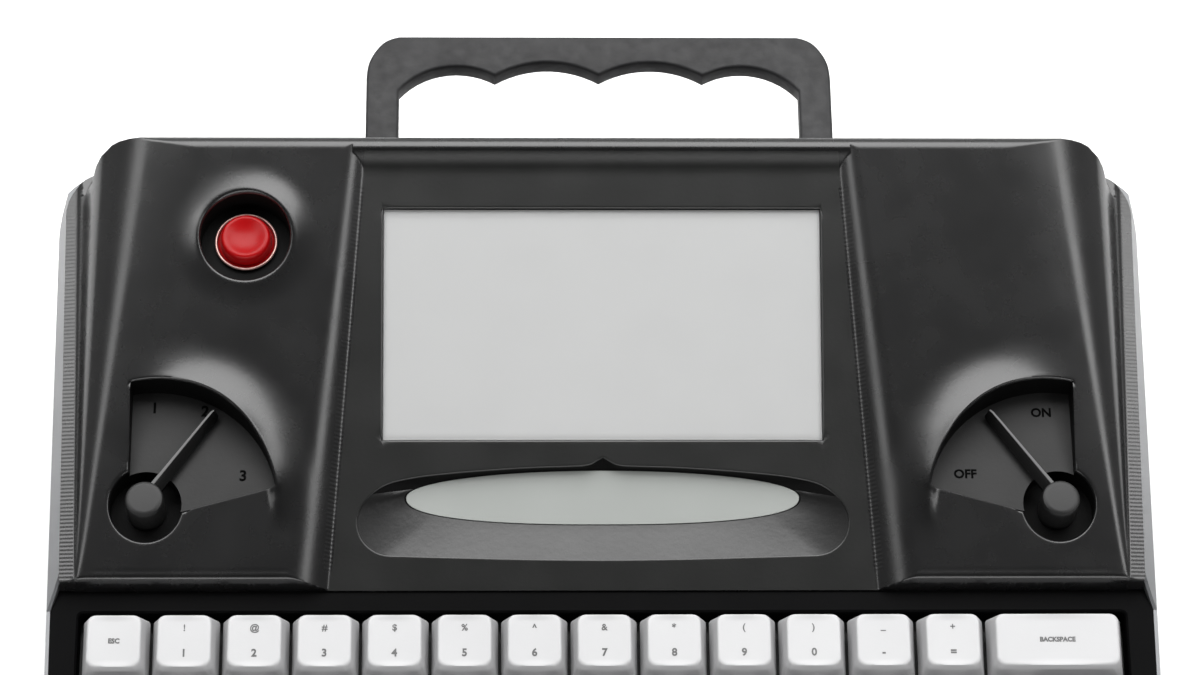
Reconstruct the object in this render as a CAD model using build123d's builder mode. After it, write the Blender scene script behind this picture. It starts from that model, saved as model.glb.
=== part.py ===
from build123d import *
import os
from math import tan, sin, cos, radians

os.makedirs("parts", exist_ok=True)

# ---------------------------------------------------------------------------
# Portable electronic word processor: silver tub, black keyboard bezel, black
# display hood with two raised cheeks, electronic-paper display, 58-key
# mechanical keyboard, red power button, two rotary selectors, carry handle.
# Millimetres.  +X right, +Y towards the rear, +Z up.  Z = 0 is the table.
# X = 0, Y = 0 is the middle of the footprint with the handle swung out.
# Distances called "a" are measured rearwards from the rear edge of the key
# well, distances called "n" are measured along a tilted plane's normal.
# ---------------------------------------------------------------------------

YW = -30.0            # Y of the key well's rear edge
A_FRONT = -108.0      # front edge of the body
A_REAR = 121.0        # rear wall of the body
A_HANDLE = 168.0      # rear end of the carry handle when swung out
HALF_W = 152.65       # half width at the crease of the side wall, at a = 0
HALF_W_RISE = 0.0127  # gain in half width per millimetre towards the rear
FOOT_H = 2.5          # underside of the tub above the table
FLOOR_T = 2.7         # tub floor thickness
DECK_TILT = 5.0       # keyboard deck slope
MECH_TILT = 3.0       # slope of button and selector seats
PANEL_TILT = 19.0     # slope of the display panel
PITCH = 19.05         # key pitch
CAP_W = 18.2          # keycap skirt width for one unit
CAP_H = 8.6           # keycap height
CAP_N = -2.6          # keycap skirt level relative to the deck
KEY_TRAVEL = 4.0
PLATE_N = -9.0        # top of the switch plate relative to the deck
ROW1 = -15.6          # centre of the first key row
HUB_X = 125.7         # selector hub
HUB_A = 21.7
LEVER_L = 32.3
LEVER_ANGLE = 54.7
FAN_R = 34.3          # selector dial, its arc a little off the hub
FAN_U, FAN_V = -1.6, -0.6
BUTTON_X = -99.2      # power button
BUTTON_A = 94.0
GLASS_W, GLASS_H = 122.2, 65.4     # main window
GLASS_U = 75.3                     # its centre up the panel slope
OVAL_W, OVAL_H, OVAL_U = 108.9, 15.1, 27.0


def zd(a):            # keyboard deck plane
    return 40.0 + tan(radians(DECK_TILT)) * a


def zl(a):            # parting plane between tub and hood
    return 45.0 + tan(radians(7.5)) * (a - 3.0)


def zt(a):            # top of the raised cheeks
    return 46.7 + tan(radians(17.7)) * (a - 3.0)


def zp(a):            # display panel surface
    return 40.5 + tan(radians(PANEL_TILT)) * a


def half_width(a):    # half width of the tub
    return HALF_W + HALF_W_RISE * a


def tilted(a, z, degrees):
    t = radians(degrees)
    return Plane(origin=(0, YW + a, z), x_dir=(1, 0, 0), z_dir=(0, -sin(t), cos(t)))


DECK = tilted(0, 40.0, DECK_TILT)
PANEL = tilted(0, 40.5, PANEL_TILT)
MECH = tilted(20.0, 51.8, MECH_TILT)
SEAT = tilted(BUTTON_A, 69.5, MECH_TILT)


def across(a):        # XZ plane at distance a behind the key well
    return Plane.XZ.offset(-(YW + a))


def mirrored(half):   # closed outline from its right half, listed bottom to middle
    return half + [(-x, z) for x, z in reversed(half)]


def outline(points):  # closed polygon at its own coordinates
    return Polygon(*points, align=None)


# ----------------------------------------------------------------- base tub
plate_posts = [(-120, -0.5), (0, -0.5), (120, -0.5), (-134, -92), (134, -92), (-40, -92), (40, -92)]
board_posts = [(-92, 28), (92, 28), (-92, 107), (92, 107)]
case_posts = [(-110, 34), (110, 34), (-112, 108), (112, 108)]
strap_posts = [(-80, -52), (80, -52), (-80, -22), (80, -22)]
feet = [(-132, -92), (132, -92), (-132, 104), (132, 104)]
floor_z = FOOT_H + FLOOR_T

with BuildPart() as base_shell:
    with BuildSketch(Plane.YZ):
        outline([(YW + A_FRONT, FOOT_H), (YW + A_REAR, FOOT_H), (YW + A_REAR, zd(A_REAR)), (YW + A_FRONT, zd(A_FRONT))])
    extrude(amount=half_width(A_REAR), both=True)
    # upper side walls lean in from the crease to the parting plane
    with BuildSketch(across(-10)):
        outline([(-half_width(-10), zd(-10)), (half_width(-10), zd(-10)), (148.4, zl(-10)), (-148.4, zl(-10))])
    with BuildSketch(across(A_REAR)):
        outline([(-half_width(A_REAR), zd(A_REAR)), (half_width(A_REAR), zd(A_REAR)), (151.0, zl(A_REAR)), (-151.0, zl(A_REAR))])
    loft(ruled=True)
    # the raised wall dies away in a short ramp beside the first key row
    with BuildSketch(Plane.YZ):
        outline([(YW - 12, zd(-12)), (YW - 4.7, zd(-4.7)), (YW + 6, zl(6)), (YW + 6, 60), (YW - 12, 60)])
    extrude(amount=170, both=True, mode=Mode.SUBTRACT)
    # plan corners
    with BuildSketch(Plane.XY):
        outline([(-half_width(A_FRONT), YW + A_FRONT), (half_width(A_FRONT), YW + A_FRONT),
                 (half_width(A_REAR), YW + A_REAR), (-half_width(A_REAR), YW + A_REAR)])
        fillet(vertices().group_by(Axis.Y)[0], radius=10)
        fillet(vertices().group_by(Axis.Y)[-1], radius=14)
    extrude(amount=120, mode=Mode.INTERSECT)
    chamfer(faces().sort_by(Axis.Z)[0].edges(), length=2.0)
    # cavity, wider below the deck than beside the hood
    with BuildSketch(Plane.XY.offset(floor_z)):
        with Locations((0, YW + 6.4)):
            RectangleRounded(299.0, 223.2, 8.0)
    extrude(amount=24 - floor_z, mode=Mode.SUBTRACT)
    with BuildSketch(Plane.XY.offset(24)):
        with Locations((0, YW + 6.8)):
            RectangleRounded(292.0, 221.6, 6.0)
    extrude(amount=90, mode=Mode.SUBTRACT)
    # rebate that takes the keyboard bezel
    with BuildSketch(DECK.offset(-3.0)):
        outline([(-150.4, -107.0), (150.4, -107.0), (151.6, -4.7), (147.8, 6.2), (-147.8, 6.2), (-151.6, -4.7)])
        fillet(vertices().group_by(Axis.Y)[0], radius=8.7)
    extrude(amount=30, mode=Mode.SUBTRACT)
    # posts for the switch plate, square to the deck
    for x, s in plate_posts:
        top = zd(s) - 10.6
        with BuildSketch(DECK.offset(-10.55)):
            with Locations((x, s)):
                Circle(3.0)
        extrude(amount=-(top - 3.9))
    with BuildSketch(DECK.offset(-10.5)):
        with Locations(*plate_posts):
            Circle(1.25)
    extrude(amount=-8.5, mode=Mode.SUBTRACT)
    # posts for the main board and the battery strap
    with BuildSketch(Plane.XY.offset(floor_z - 0.5)):
        with Locations(*[(x, YW + a) for x, a in board_posts]):
            Circle(3.5)
    extrude(amount=13.95 - (floor_z - 0.5))
    with BuildSketch(Plane.XY.offset(floor_z - 0.5)):
        with Locations(*[(x, YW + a) for x, a in strap_posts]):
            Circle(3.0)
    extrude(amount=2.5)
    with BuildSketch(Plane.XY.offset(FOOT_H + 1.2)):
        with Locations(*[(x, YW + a) for x, a in board_posts + strap_posts]):
            Circle(1.3)
    extrude(amount=20, mode=Mode.SUBTRACT)
    # tubes for the long case screws
    for x, a in case_posts:
        with BuildSketch(Plane.XY.offset(FOOT_H)):
            with Locations((x, YW + a)):
                Circle(4.5)
        extrude(amount=zd(a - 4.5) - 0.3 - FOOT_H)
        with BuildSketch(Plane.XY.offset(0)):
            with Locations((x, YW + a)):
                Circle(2.9)
        extrude(amount=zd(a) - 9.0, mode=Mode.SUBTRACT)
        with BuildSketch(Plane.XY.offset(0)):
            with Locations((x, YW + a)):
                Circle(1.6)
        extrude(amount=90, mode=Mode.SUBTRACT)
    # foot recesses
    with BuildSketch(Plane.XY.offset(0)):
        with Locations(*[(x, YW + a) for x, a in feet]):
            Circle(7.05)
    extrude(amount=FOOT_H + 1.0, mode=Mode.SUBTRACT)
    # charging socket slot through the rear wall
    with BuildSketch(across(125)):
        with Locations((70, 17.45)):
            RectangleRounded(9.6, 4.1, 1.9)
    extrude(amount=9, mode=Mode.SUBTRACT)
base_shell.part.label = "base_shell"
export_step(base_shell.part, "parts/base_shell.step")

# ------------------------------------------------------------------- feet
with BuildPart() as rubber_feet:
    with BuildSketch(Plane.XY):
        with Locations(*[(x, YW + a) for x, a in feet]):
            Circle(7.0)
    extrude(amount=FOOT_H + 0.95)
    chamfer(edges().group_by(Axis.Z)[0], length=0.6)
rubber_feet.part.label = "rubber_feet"
export_step(rubber_feet.part, "parts/rubber_feet.step")

# -------------------------------------------------------- keyboard bezel
well_front, well_rear = -102.0, -5.0
with BuildPart() as keyboard_bezel:
    with BuildSketch(DECK.offset(-2.95)):
        outline([(-150.2, -106.8), (150.2, -106.8), (151.4, -4.8), (147.6, 6.0), (-147.6, 6.0), (-151.4, -4.8)])
        fillet(vertices().group_by(Axis.Y)[0], radius=8.5)
    extrude(amount=2.95)
    with BuildSketch(DECK.offset(-8.9)):
        with Locations((0, (well_front + well_rear) / 2)):
            RectangleRounded(291.2, well_rear - well_front + 3.4, 6.0)
    extrude(amount=7.0)
    with BuildSketch(DECK.offset(-9.5)):
        with Locations((0, (well_front + well_rear) / 2)):
            RectangleRounded(287.8, well_rear - well_front, 1.4)
    extrude(amount=12.0, mode=Mode.SUBTRACT)
    chamfer(edges().filter_by(lambda e: abs(DECK.to_local_coords(e.center()).Z) < 0.01 and abs(DECK.to_local_coords(e.center()).X) < 144.0 and -103 < DECK.to_local_coords(e.center()).Y < -4.0), length=0.5)
keyboard_bezel.part.label = "keyboard_bezel"
export_step(keyboard_bezel.part, "parts/keyboard_bezel.step")

# ------------------------------------------------------------ display hood
hood_front, hood_rear = 0.9, A_REAR
near_half = [(145.7, zd(3.0) + 0.1), (145.7, zl(3.0) + 0.15), (148.7, zl(3.0) + 0.15),
             (144.8, 46.0), (144.0, 46.5), (143.0, 46.7), (81.0, 46.7), (75.5, zp(3.0))]
rear_half = [(145.7, zd(hood_rear) + 0.1), (145.7, zl(hood_rear) + 0.15), (151.0, zl(hood_rear) + 0.15),
             (146.5, 62.2), (141.5, 75.4), (131.5, zt(hood_rear)), (68.8, zt(hood_rear)), (65.9, zp(hood_rear))]


def carried(near, rear, a0, a1, a):   # section at a on the straight lines through two sections
    t = (a - a0) / (a1 - a0)
    return [(x0 + (x1 - x0) * t, z0 + (z1 - z0) * t) for (x0, z0), (x1, z1) in zip(near, rear)]


front_half = carried(near_half, rear_half, 3.0, hood_rear, hood_front)

with BuildPart() as hood_cavity:      # everything hollow inside the hood
    cavity_front = [(143.0, 20.0), (143.0, 43.6), (142.5, 44.0), (142.0, 44.5), (141.4, 45.0), (85.0, 45.0), (77.6, zp(5.5) - 4.3)]
    cavity_rear = [(143.2, 20.0), (143.2, 60.0), (142.8, 62.0), (138.6, 74.4), (130.4, zt(118.2) - 2.6), (70.8, zt(118.2) - 2.6), (67.9, zp(118.2) - 4.3)]
    with BuildSketch(across(4.4)):
        outline(mirrored(carried(cavity_front, cavity_rear, 5.5, 118.2, 4.4)))
    with BuildSketch(across(118.2)):
        outline(mirrored(cavity_rear))
    loft(ruled=True)
    for side in (-1, 1):
        # solid ground under the selector fans, hub cups and screw bosses
        with BuildSketch(MECH.offset(-2.0)):
            with Locations((side * HUB_X, HUB_A - 20)):
                Circle(38.0)
        extrude(amount=60, mode=Mode.SUBTRACT)
        with BuildSketch(MECH.offset(-8.0)):
            with Locations((side * HUB_X, HUB_A - 20)):
                Circle(12.0)
        extrude(amount=60, mode=Mode.SUBTRACT)
    with BuildSketch(SEAT.offset(-2.0)):
        with Locations((BUTTON_X, 0)):
            Circle(15.0)
    extrude(amount=60, mode=Mode.SUBTRACT)
    with BuildSketch(Plane.XY):
        with Locations(*[(x, YW + a) for x, a in case_posts]):
            Circle(4.0)
    extrude(amount=120, mode=Mode.SUBTRACT)
    with BuildSketch(PANEL.offset(-5.5)):
        with Locations((-71.5, 16), (71.5, 16), (-71.5, 106), (71.5, 106)):
            Circle(2.6)
    extrude(amount=12, mode=Mode.SUBTRACT)
    for side in (-1, 1):
        with BuildSketch(Plane.XY):
            with Locations((side * (135.5 + 20.0), YW + 113.5 + 20.0)):
                Rectangle(40, 40)
            with Locations((side * 135.5, YW + 113.5)):
                Circle(4.7, mode=Mode.SUBTRACT)
        extrude(amount=120, mode=Mode.SUBTRACT)

with BuildPart() as display_hood:
    with BuildSketch(across(hood_front)):
        outline(mirrored(front_half))
    with BuildSketch(across(hood_rear)):
        outline(mirrored(rear_half))
    loft(ruled=True)
    # rear rim that closes the panel recess
    with BuildSketch(Plane.YZ):
        outline([(YW + 112.2, zp(112.2) - 1.5), (YW + A_REAR, zp(A_REAR) - 1.5), (YW + A_REAR, zt(A_REAR)), (YW + 117.2, zt(117.2)),
                 (YW + 115.9, zp(115.9) + 1.75), (YW + 114.5, zp(114.5) + 0.82), (YW + 113.2, zp(113.2) + 0.2), (YW + 112.2, zp(112.2))])
    extrude(amount=69.5, both=True)
    # rear edge: clear of the tub's rear wall below, eased above
    with BuildSketch(Plane.YZ):
        outline([(YW + 117.4, 40), (YW + 130, 40), (YW + 130, zl(130) + 0.15), (YW + 117.4, zl(117.4) + 0.15)])
    extrude(amount=170, both=True, mode=Mode.SUBTRACT)
    with BuildSketch(Plane.YZ):
        outline([(YW + 117.4, 83.19), (YW + 118.4, 83.3), (YW + 119.2, 83.2), (YW + 120.0, 82.93), (YW + 120.6, 82.58), (YW + 121.0, 82.26),
                 (YW + 130, 82.26), (YW + 130, 95), (YW + 117.4, 95)])
    extrude(amount=170, both=True, mode=Mode.SUBTRACT)
    # slanted lip along the front of the cheeks
    with BuildSketch(Plane.YZ):
        outline([(YW - 2.0, 44.2), (YW + 0.9, 44.2), (YW + 3.1, 46.75), (YW + 3.1, 60.0), (YW - 2.0, 60.0)])
    extrude(amount=170, both=True, mode=Mode.SUBTRACT)
    # skirt corners inside the tub
    for side in (-1, 1):
        with BuildSketch(Plane.XY.offset(40)):
            with Locations((side * (138.7 + 5.0), YW + 110.4 + 5.0)):
                Rectangle(10, 10)
            with Locations((side * 138.7, YW + 110.4)):
                Circle(7.0, mode=Mode.SUBTRACT)
        extrude(amount=20.3, mode=Mode.SUBTRACT)
    # rounded rear corners of the raised part, above the shoulder
    for side in (-1, 1):
        with BuildSketch(Plane.XY.offset(62.6)):
            with Locations((side * (135.5 + 20.0), YW + 113.5 + 20.0)):
                Rectangle(40, 40)
            with Locations((side * 135.5, YW + 113.5)):
                Circle(7.5, mode=Mode.SUBTRACT)
        extrude(amount=40, mode=Mode.SUBTRACT)
        with BuildSketch(Plane.XY.offset(50)):
            with Locations((side * (139.9 + 15.0), YW + 107.0 + 15.0)):
                Rectangle(30, 30)
            with Locations((side * 139.9, YW + 107.0)):
                Circle(13.9, mode=Mode.SUBTRACT)
        extrude(amount=40, mode=Mode.SUBTRACT)
    add(hood_cavity.part, mode=Mode.SUBTRACT)
    # main window
    with BuildSketch(PANEL.offset(-8)):
        with Locations((0, GLASS_U)):
            Rectangle(GLASS_W, GLASS_H)
    extrude(amount=20, mode=Mode.SUBTRACT)
    # dished tray around the oval status window, then the oval itself
    with BuildSketch(PANEL.offset(0.01)):
        with Locations((0, 22.6)):
            SlotOverall(136.0, 25.6)
    with BuildSketch(PANEL.offset(-3.0)):
        with Locations((0, OVAL_U)):
            SlotOverall(116.0, 15.8)
    loft(ruled=True, mode=Mode.SUBTRACT)
    with BuildSketch(PANEL.offset(-8)):
        with Locations((0, OVAL_U)):
            Ellipse(OVAL_W / 2, OVAL_H / 2)
    extrude(amount=12, mode=Mode.SUBTRACT)
    # selector fans, hub cups and shaft holes
    for side in (-1, 1):
        hx, hv = side * HUB_X, HUB_A - 20
        with BuildSketch(MECH):
            with Locations((hx + side * FAN_U, hv + FAN_V)):
                Circle(FAN_R)
            Polygon(*[(hx + side * dx, hv + dv) for dx, dv in [(4.6, -2), (4.6, 42), (-42, 42), (-42, 6.3), (-11.9, -1.5), (-5, -3.3)]],
                    align=None, mode=Mode.INTERSECT)
        extrude(amount=25, mode=Mode.SUBTRACT)
        with BuildSketch(MECH.offset(-6.0)):
            with Locations((hx, hv)):
                Circle(10.0)
        extrude(amount=25, mode=Mode.SUBTRACT)
        with BuildSketch(MECH.offset(-10.0)):
            with Locations((hx, hv)):
                Circle(3.06)
        extrude(amount=10, mode=Mode.SUBTRACT)
    # power button recess
    with BuildSketch(SEAT):
        with Locations((BUTTON_X, -0.6)):
            Ellipse(12.5, 11.85)
    extrude(amount=25, mode=Mode.SUBTRACT)
    with BuildSketch(SEAT.offset(-4)):
        with Locations((BUTTON_X, 0)):
            Circle(7.8)
    extrude(amount=10, mode=Mode.SUBTRACT)
    # blind holes for the case screws and the display bracket screws
    for x, a in case_posts:
        with BuildSketch(Plane.XY.offset(zd(a) - 6)):
            with Locations((x, YW + a)):
                Circle(1.55)
        extrude(amount=14.5, mode=Mode.SUBTRACT)
    with BuildSketch(PANEL.offset(-8)):
        with Locations((-71.5, 16), (71.5, 16), (-71.5, 106), (71.5, 106)):
            Circle(1.05)
    extrude(amount=6.0, mode=Mode.SUBTRACT)
display_hood.part.label = "display_hood"
export_step(display_hood.part, "parts/display_hood.step")

# ------------------------------------------------- display stack under the panel
with BuildPart() as display_window:
    with BuildSketch(PANEL.offset(-4.0)):
        with Locations((0, GLASS_U)):
            Rectangle(GLASS_W - 0.3, GLASS_H - 0.3)
    extrude(amount=2.3)
display_window.part.label = "display_window"
export_step(display_window.part, "parts/display_window.step")

with BuildPart() as status_window:
    with BuildSketch(PANEL.offset(-4.0)):
        with Locations((0, OVAL_U)):
            Ellipse(OVAL_W / 2 - 0.15, OVAL_H / 2 - 0.15)
    extrude(amount=1.0)
status_window.part.label = "status_window"
export_step(status_window.part, "parts/status_window.step")

with BuildPart() as eink_panel:
    with BuildSketch(PANEL.offset(-5.45)):
        with Locations((0, 61.0)):
            RectangleRounded(133.0, 98.0, 1.0)
    extrude(amount=1.1)
eink_panel.part.label = "eink_panel"
export_step(eink_panel.part, "parts/eink_panel.step")

with BuildPart() as display_bracket:
    with BuildSketch(PANEL.offset(-7.1)):
        with Locations((0, 61.0)):
            RectangleRounded(150.0, 100.0, 3.0)
            RectangleRounded(112.0, 74.0, 3.0, mode=Mode.SUBTRACT)
        with Locations((-71.5, 16), (71.5, 16), (-71.5, 106), (71.5, 106)):
            Circle(1.3, mode=Mode.SUBTRACT)
    extrude(amount=1.5)
display_bracket.part.label = "display_bracket"
export_step(display_bracket.part, "parts/display_bracket.step")

with BuildPart() as display_screws:
    with BuildSketch(PANEL.offset(-8.5)):
        with Locations((-71.5, 16), (71.5, 16), (-71.5, 106), (71.5, 106)):
            Circle(2.0)
    extrude(amount=1.35)
    with BuildSketch(PANEL.offset(-7.2)):
        with Locations((-71.5, 16), (71.5, 16), (-71.5, 106), (71.5, 106)):
            Circle(1.0)
    extrude(amount=4.6)
display_screws.part.label = "display_screws"
export_step(display_screws.part, "parts/display_screws.step")

# flat cable from the display down to the main board
with BuildPart() as display_cable:
    path = [(YW + 58.6, 53.4), (YW + 56.0, 46.0), (YW + 61.0, 30.0), (YW + 58.0, 16.2)]
    with BuildSketch(Plane.YZ.offset(-12)):
        outline(path + [(y + 0.4, z) for y, z in reversed(path)])
    extrude(amount=24)
display_cable.part.label = "display_cable"
export_step(display_cable.part, "parts/display_cable.step")

# ------------------------------------------------------------ key layout
rows = [
    [1.0] * 13 + [2.0],
    [1.5] + [1.0] * 12 + [1.5],
    [1.75] + [1.0] * 11 + [2.25],
    [2.25] + [1.0] * 10 + [2.75],
    [2.25, 1.75, 7.0, 1.75, 2.25],
]
layout = []
for r, units in enumerate(rows):
    edge = -7.5 * PITCH
    line = []
    for u in units:
        line.append((edge + u * PITCH / 2, ROW1 - r * PITCH, u))
        edge += u * PITCH
    layout.append(line)
centres = [(x, s) for line in layout for x, s, u in line]

with BuildPart() as keyboard_plate:
    with BuildSketch(DECK.offset(PLATE_N - 1.5)):
        with Locations((0, -50.6)):
            RectangleRounded(291.0, 104.8, 2.0)
        with Locations(*centres):
            Rectangle(14.0, 14.0, mode=Mode.SUBTRACT)
        with Locations(*plate_posts):
            Circle(1.35, mode=Mode.SUBTRACT)
    extrude(amount=1.45)
keyboard_plate.part.label = "keyboard_plate"
export_step(keyboard_plate.part, "parts/keyboard_plate.step")

with BuildPart() as switch_housings:
    with BuildSketch(DECK.offset(PLATE_N)):
        with Locations(*centres):
            Rectangle(15.4, 15.4)
    extrude(amount=1.0)
    with BuildSketch(DECK.offset(PLATE_N - 5.0)):
        with Locations(*centres):
            Rectangle(13.8, 13.8)
    extrude(amount=5.0)
    with BuildSketch(DECK.offset(PLATE_N + 1.0)):
        with Locations(*centres):
            Rectangle(10.4, 10.4)
    extrude(amount=5.6)
    with BuildSketch(DECK.offset(PLATE_N - 3.6)):
        with Locations(*centres):
            Rectangle(7.0, 5.6)
    extrude(amount=12.0, mode=Mode.SUBTRACT)
switch_housings.part.label = "switch_housings"
export_step(switch_housings.part, "parts/switch_housings.step")

with BuildPart() as keyboard_pcb:
    with BuildSketch(DECK.offset(PLATE_N - 6.65)):
        with Locations((0, -51.0)):
            RectangleRounded(288.0, 103.0, 2.0)
        with Locations(*plate_posts):
            Circle(3.6, mode=Mode.SUBTRACT)
    extrude(amount=1.6)
keyboard_pcb.part.label = "keyboard_pcb"
export_step(keyboard_pcb.part, "parts/keyboard_pcb.step")

with BuildPart() as plate_screws:
    with BuildSketch(DECK.offset(PLATE_N)):
        with Locations(*plate_posts):
            Circle(2.3)
    extrude(amount=1.5)
    with BuildSketch(DECK.offset(PLATE_N)):
        with Locations(*plate_posts):
            Circle(1.2)
    extrude(amount=-8.0)
plate_screws.part.label = "plate_screws"
export_step(plate_screws.part, "parts/plate_screws.step")


names = [
    ["key_esc"] + ["key_%d" % d for d in (1, 2, 3, 4, 5, 6, 7, 8, 9, 0)] + ["key_minus", "key_equals", "key_backspace"],
    ["key_tab"] + ["letter_keys_upper_row"] * 12 + ["key_backslash"],
    ["key_caps_lock"] + ["letter_keys_home_row"] * 11 + ["key_enter"],
    ["key_shift_left"] + ["letter_keys_lower_row"] * 10 + ["key_shift_right"],
    ["key_function_left", "key_page_left", "key_space", "key_page_right", "key_function_right"],
]
groups = {}
for line, labels in zip(layout, names):
    for place, label in zip(line, labels):
        groups.setdefault(label, []).append(place)
for label, places in groups.items():
    with BuildPart() as key:
        for x, s, u in places:
            w = CAP_W + PITCH * (u - 1)
            with BuildSketch(DECK.offset(CAP_N)):
                with Locations((x, s)):
                    RectangleRounded(w, CAP_W, 1.2)
            with BuildSketch(DECK.offset(CAP_N + CAP_H)):
                with Locations((x, s + 0.56)):
                    RectangleRounded(w - 4.0, 14.2, 2.2)
            loft(ruled=True)
            with BuildSketch(DECK.offset(CAP_N)):
                with Locations((x, s)):
                    Rectangle(w - 2.8, CAP_W - 2.8)
            with BuildSketch(DECK.offset(CAP_N + 7.0)):
                with Locations((x, s + 0.9)):
                    Rectangle(w - 7.8, 10.4)
            loft(ruled=True, mode=Mode.SUBTRACT)
        # switch stems that carry the caps and slide in the housings
        with BuildSketch(DECK.offset(-8.2)):
            with Locations(*[(x, s) for x, s, u in places]):
                Rectangle(6.8, 5.4)
        extrude(amount=7.2)
        with BuildSketch(DECK.offset(-1.0)):
            with Locations(*[(x, s) for x, s, u in places]):
                Circle(2.5)
        extrude(amount=CAP_N + 7.0 + 1.0 - 0.02)
    key.part.label = label
    export_step(key.part, "parts/%s.step" % label)

# ---------------------------------------------------------- electronics
with BuildPart() as main_pcb:
    with BuildSketch(Plane.XY.offset(14.0)):
        with Locations((0, YW + 68)):
            RectangleRounded(200, 94, 2)
        with Locations(*[(x, YW + a) for x, a in board_posts]):
            Circle(1.6, mode=Mode.SUBTRACT)
    extrude(amount=1.6)
    with BuildSketch(Plane.XY.offset(15.6)):
        with Locations((-40, YW + 80)):
            Rectangle(18, 18)
        with Locations((-64, YW + 84)):
            Rectangle(12, 9)
        with Locations((30, YW + 84)):
            Rectangle(16, 24)
        with Locations((0, YW + 51)):
            Rectangle(28, 5)
        with Locations((37, YW + 28)):
            Rectangle(34, 4)
    extrude(amount=1.4)
main_pcb.part.label = "main_pcb"
export_step(main_pcb.part, "parts/main_pcb.step")

with BuildPart() as board_screws:
    with BuildSketch(Plane.XY.offset(15.62)):
        with Locations(*[(x, YW + a) for x, a in board_posts]):
            Circle(2.6)
    extrude(amount=1.8)
    with BuildSketch(Plane.XY.offset(6.0)):
        with Locations(*[(x, YW + a) for x, a in board_posts]):
            Circle(1.25)
    extrude(amount=9.8)
board_screws.part.label = "board_screws"
export_step(board_screws.part, "parts/board_screws.step")

with BuildPart() as battery_pack:
    with BuildSketch(Plane.XY.offset(floor_z + 0.05)):
        with Locations((-34, YW - 37), (34, YW - 37)):
            RectangleRounded(66, 40, 3)
    extrude(amount=7.5)
battery_pack.part.label = "battery_pack"
export_step(battery_pack.part, "parts/battery_pack.step")

with BuildPart() as battery_strap:
    for a in (-52, -22):
        with BuildSketch(Plane.XZ.offset(-(YW + a + 5))):
            outline([(-86, 7.25), (-72, 7.25), (-72, 12.9), (72, 12.9), (72, 7.25), (86, 7.25), (86, 8.25), (73, 8.25), (73, 13.9), (-73, 13.9), (-73, 8.25), (-86, 8.25)])
        extrude(amount=10)
    with BuildSketch(Plane.XY.offset(7)):
        with Locations(*[(x, YW + a) for x, a in strap_posts]):
            Circle(1.35)
    extrude(amount=4, mode=Mode.SUBTRACT)
battery_strap.part.label = "battery_straps"
export_step(battery_strap.part, "parts/battery_straps.step")

with BuildPart() as keyboard_cable:
    path = [(YW - 6.0, 23.3), (YW + 2.0, 20.5), (YW + 16.0, 19.0), (YW + 25.7, 16.1)]
    with BuildSketch(Plane.YZ.offset(22)):
        outline(path + [(y, z + 0.4) for y, z in reversed(path)])
    extrude(amount=30)
keyboard_cable.part.label = "keyboard_cable"
export_step(keyboard_cable.part, "parts/keyboard_cable.step")

with BuildPart() as charging_socket:
    with BuildSketch(across(120.6)):
        with Locations((70, 17.45)):
            RectangleRounded(9.2, 3.6, 1.6)
    extrude(amount=11.0)
    with BuildSketch(across(120.6)):
        with Locations((70, 17.45)):
            RectangleRounded(8.5, 2.9, 1.3)
            Rectangle(6.7, 0.8, mode=Mode.SUBTRACT)
    extrude(amount=6.5, mode=Mode.SUBTRACT)
charging_socket.part.label = "charging_socket"
export_step(charging_socket.part, "parts/charging_socket.step")

# ---------------------------------------------------------- power button
with BuildPart() as power_button_ring:
    with BuildSketch(SEAT.offset(0.02)):
        with Locations((BUTTON_X, 0)):
            Circle(8.7)
    extrude(amount=1.5)
    chamfer(edges().group_by(Axis.Z)[-1], length=0.4)
    with BuildSketch(SEAT.offset(-6.5)):
        with Locations((BUTTON_X, 0)):
            Circle(7.7)
    extrude(amount=7.0)
    with BuildSketch(SEAT.offset(-8)):
        with Locations((BUTTON_X, 0)):
            Circle(7.08)
    extrude(amount=12.0, mode=Mode.SUBTRACT)
power_button_ring.part.label = "power_button_ring"
export_step(power_button_ring.part, "parts/power_button_ring.step")

with BuildPart() as power_button_cap:
    with BuildSketch(Plane(origin=SEAT.from_local_coords((BUTTON_X, 0, 0)), x_dir=(1, 0, 0), z_dir=-SEAT.y_dir)):
        outline([(0, -12.0), (1.95, -12.0), (1.95, -6.0), (7.0, -6.0), (7.0, 3.9), (6.6, 4.6), (6.0, 4.98), (4.0, 4.35), (0, 3.65)])
    revolve(axis=Axis(origin=SEAT.from_local_coords((BUTTON_X, 0, 0)), direction=SEAT.z_dir), revolution_arc=360)
power_button_cap.part.label = "power_button_cap"
export_step(power_button_cap.part, "parts/power_button_cap.step")

with BuildPart() as power_switch_body:
    with BuildSketch(SEAT.offset(-18.0)):
        with Locations((BUTTON_X, 0)):
            Circle(9.0)
    extrude(amount=15.9)
    with BuildSketch(SEAT.offset(-9.5)):
        with Locations((BUTTON_X, 0)):
            Circle(7.75)
    extrude(amount=12.0, mode=Mode.SUBTRACT)
    with BuildSketch(SEAT.offset(-15.5)):
        with Locations((BUTTON_X, 0)):
            Circle(2.0)
    extrude(amount=12.0, mode=Mode.SUBTRACT)
power_switch_body.part.label = "power_switch_body"
export_step(power_switch_body.part, "parts/power_switch_body.step")

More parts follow.
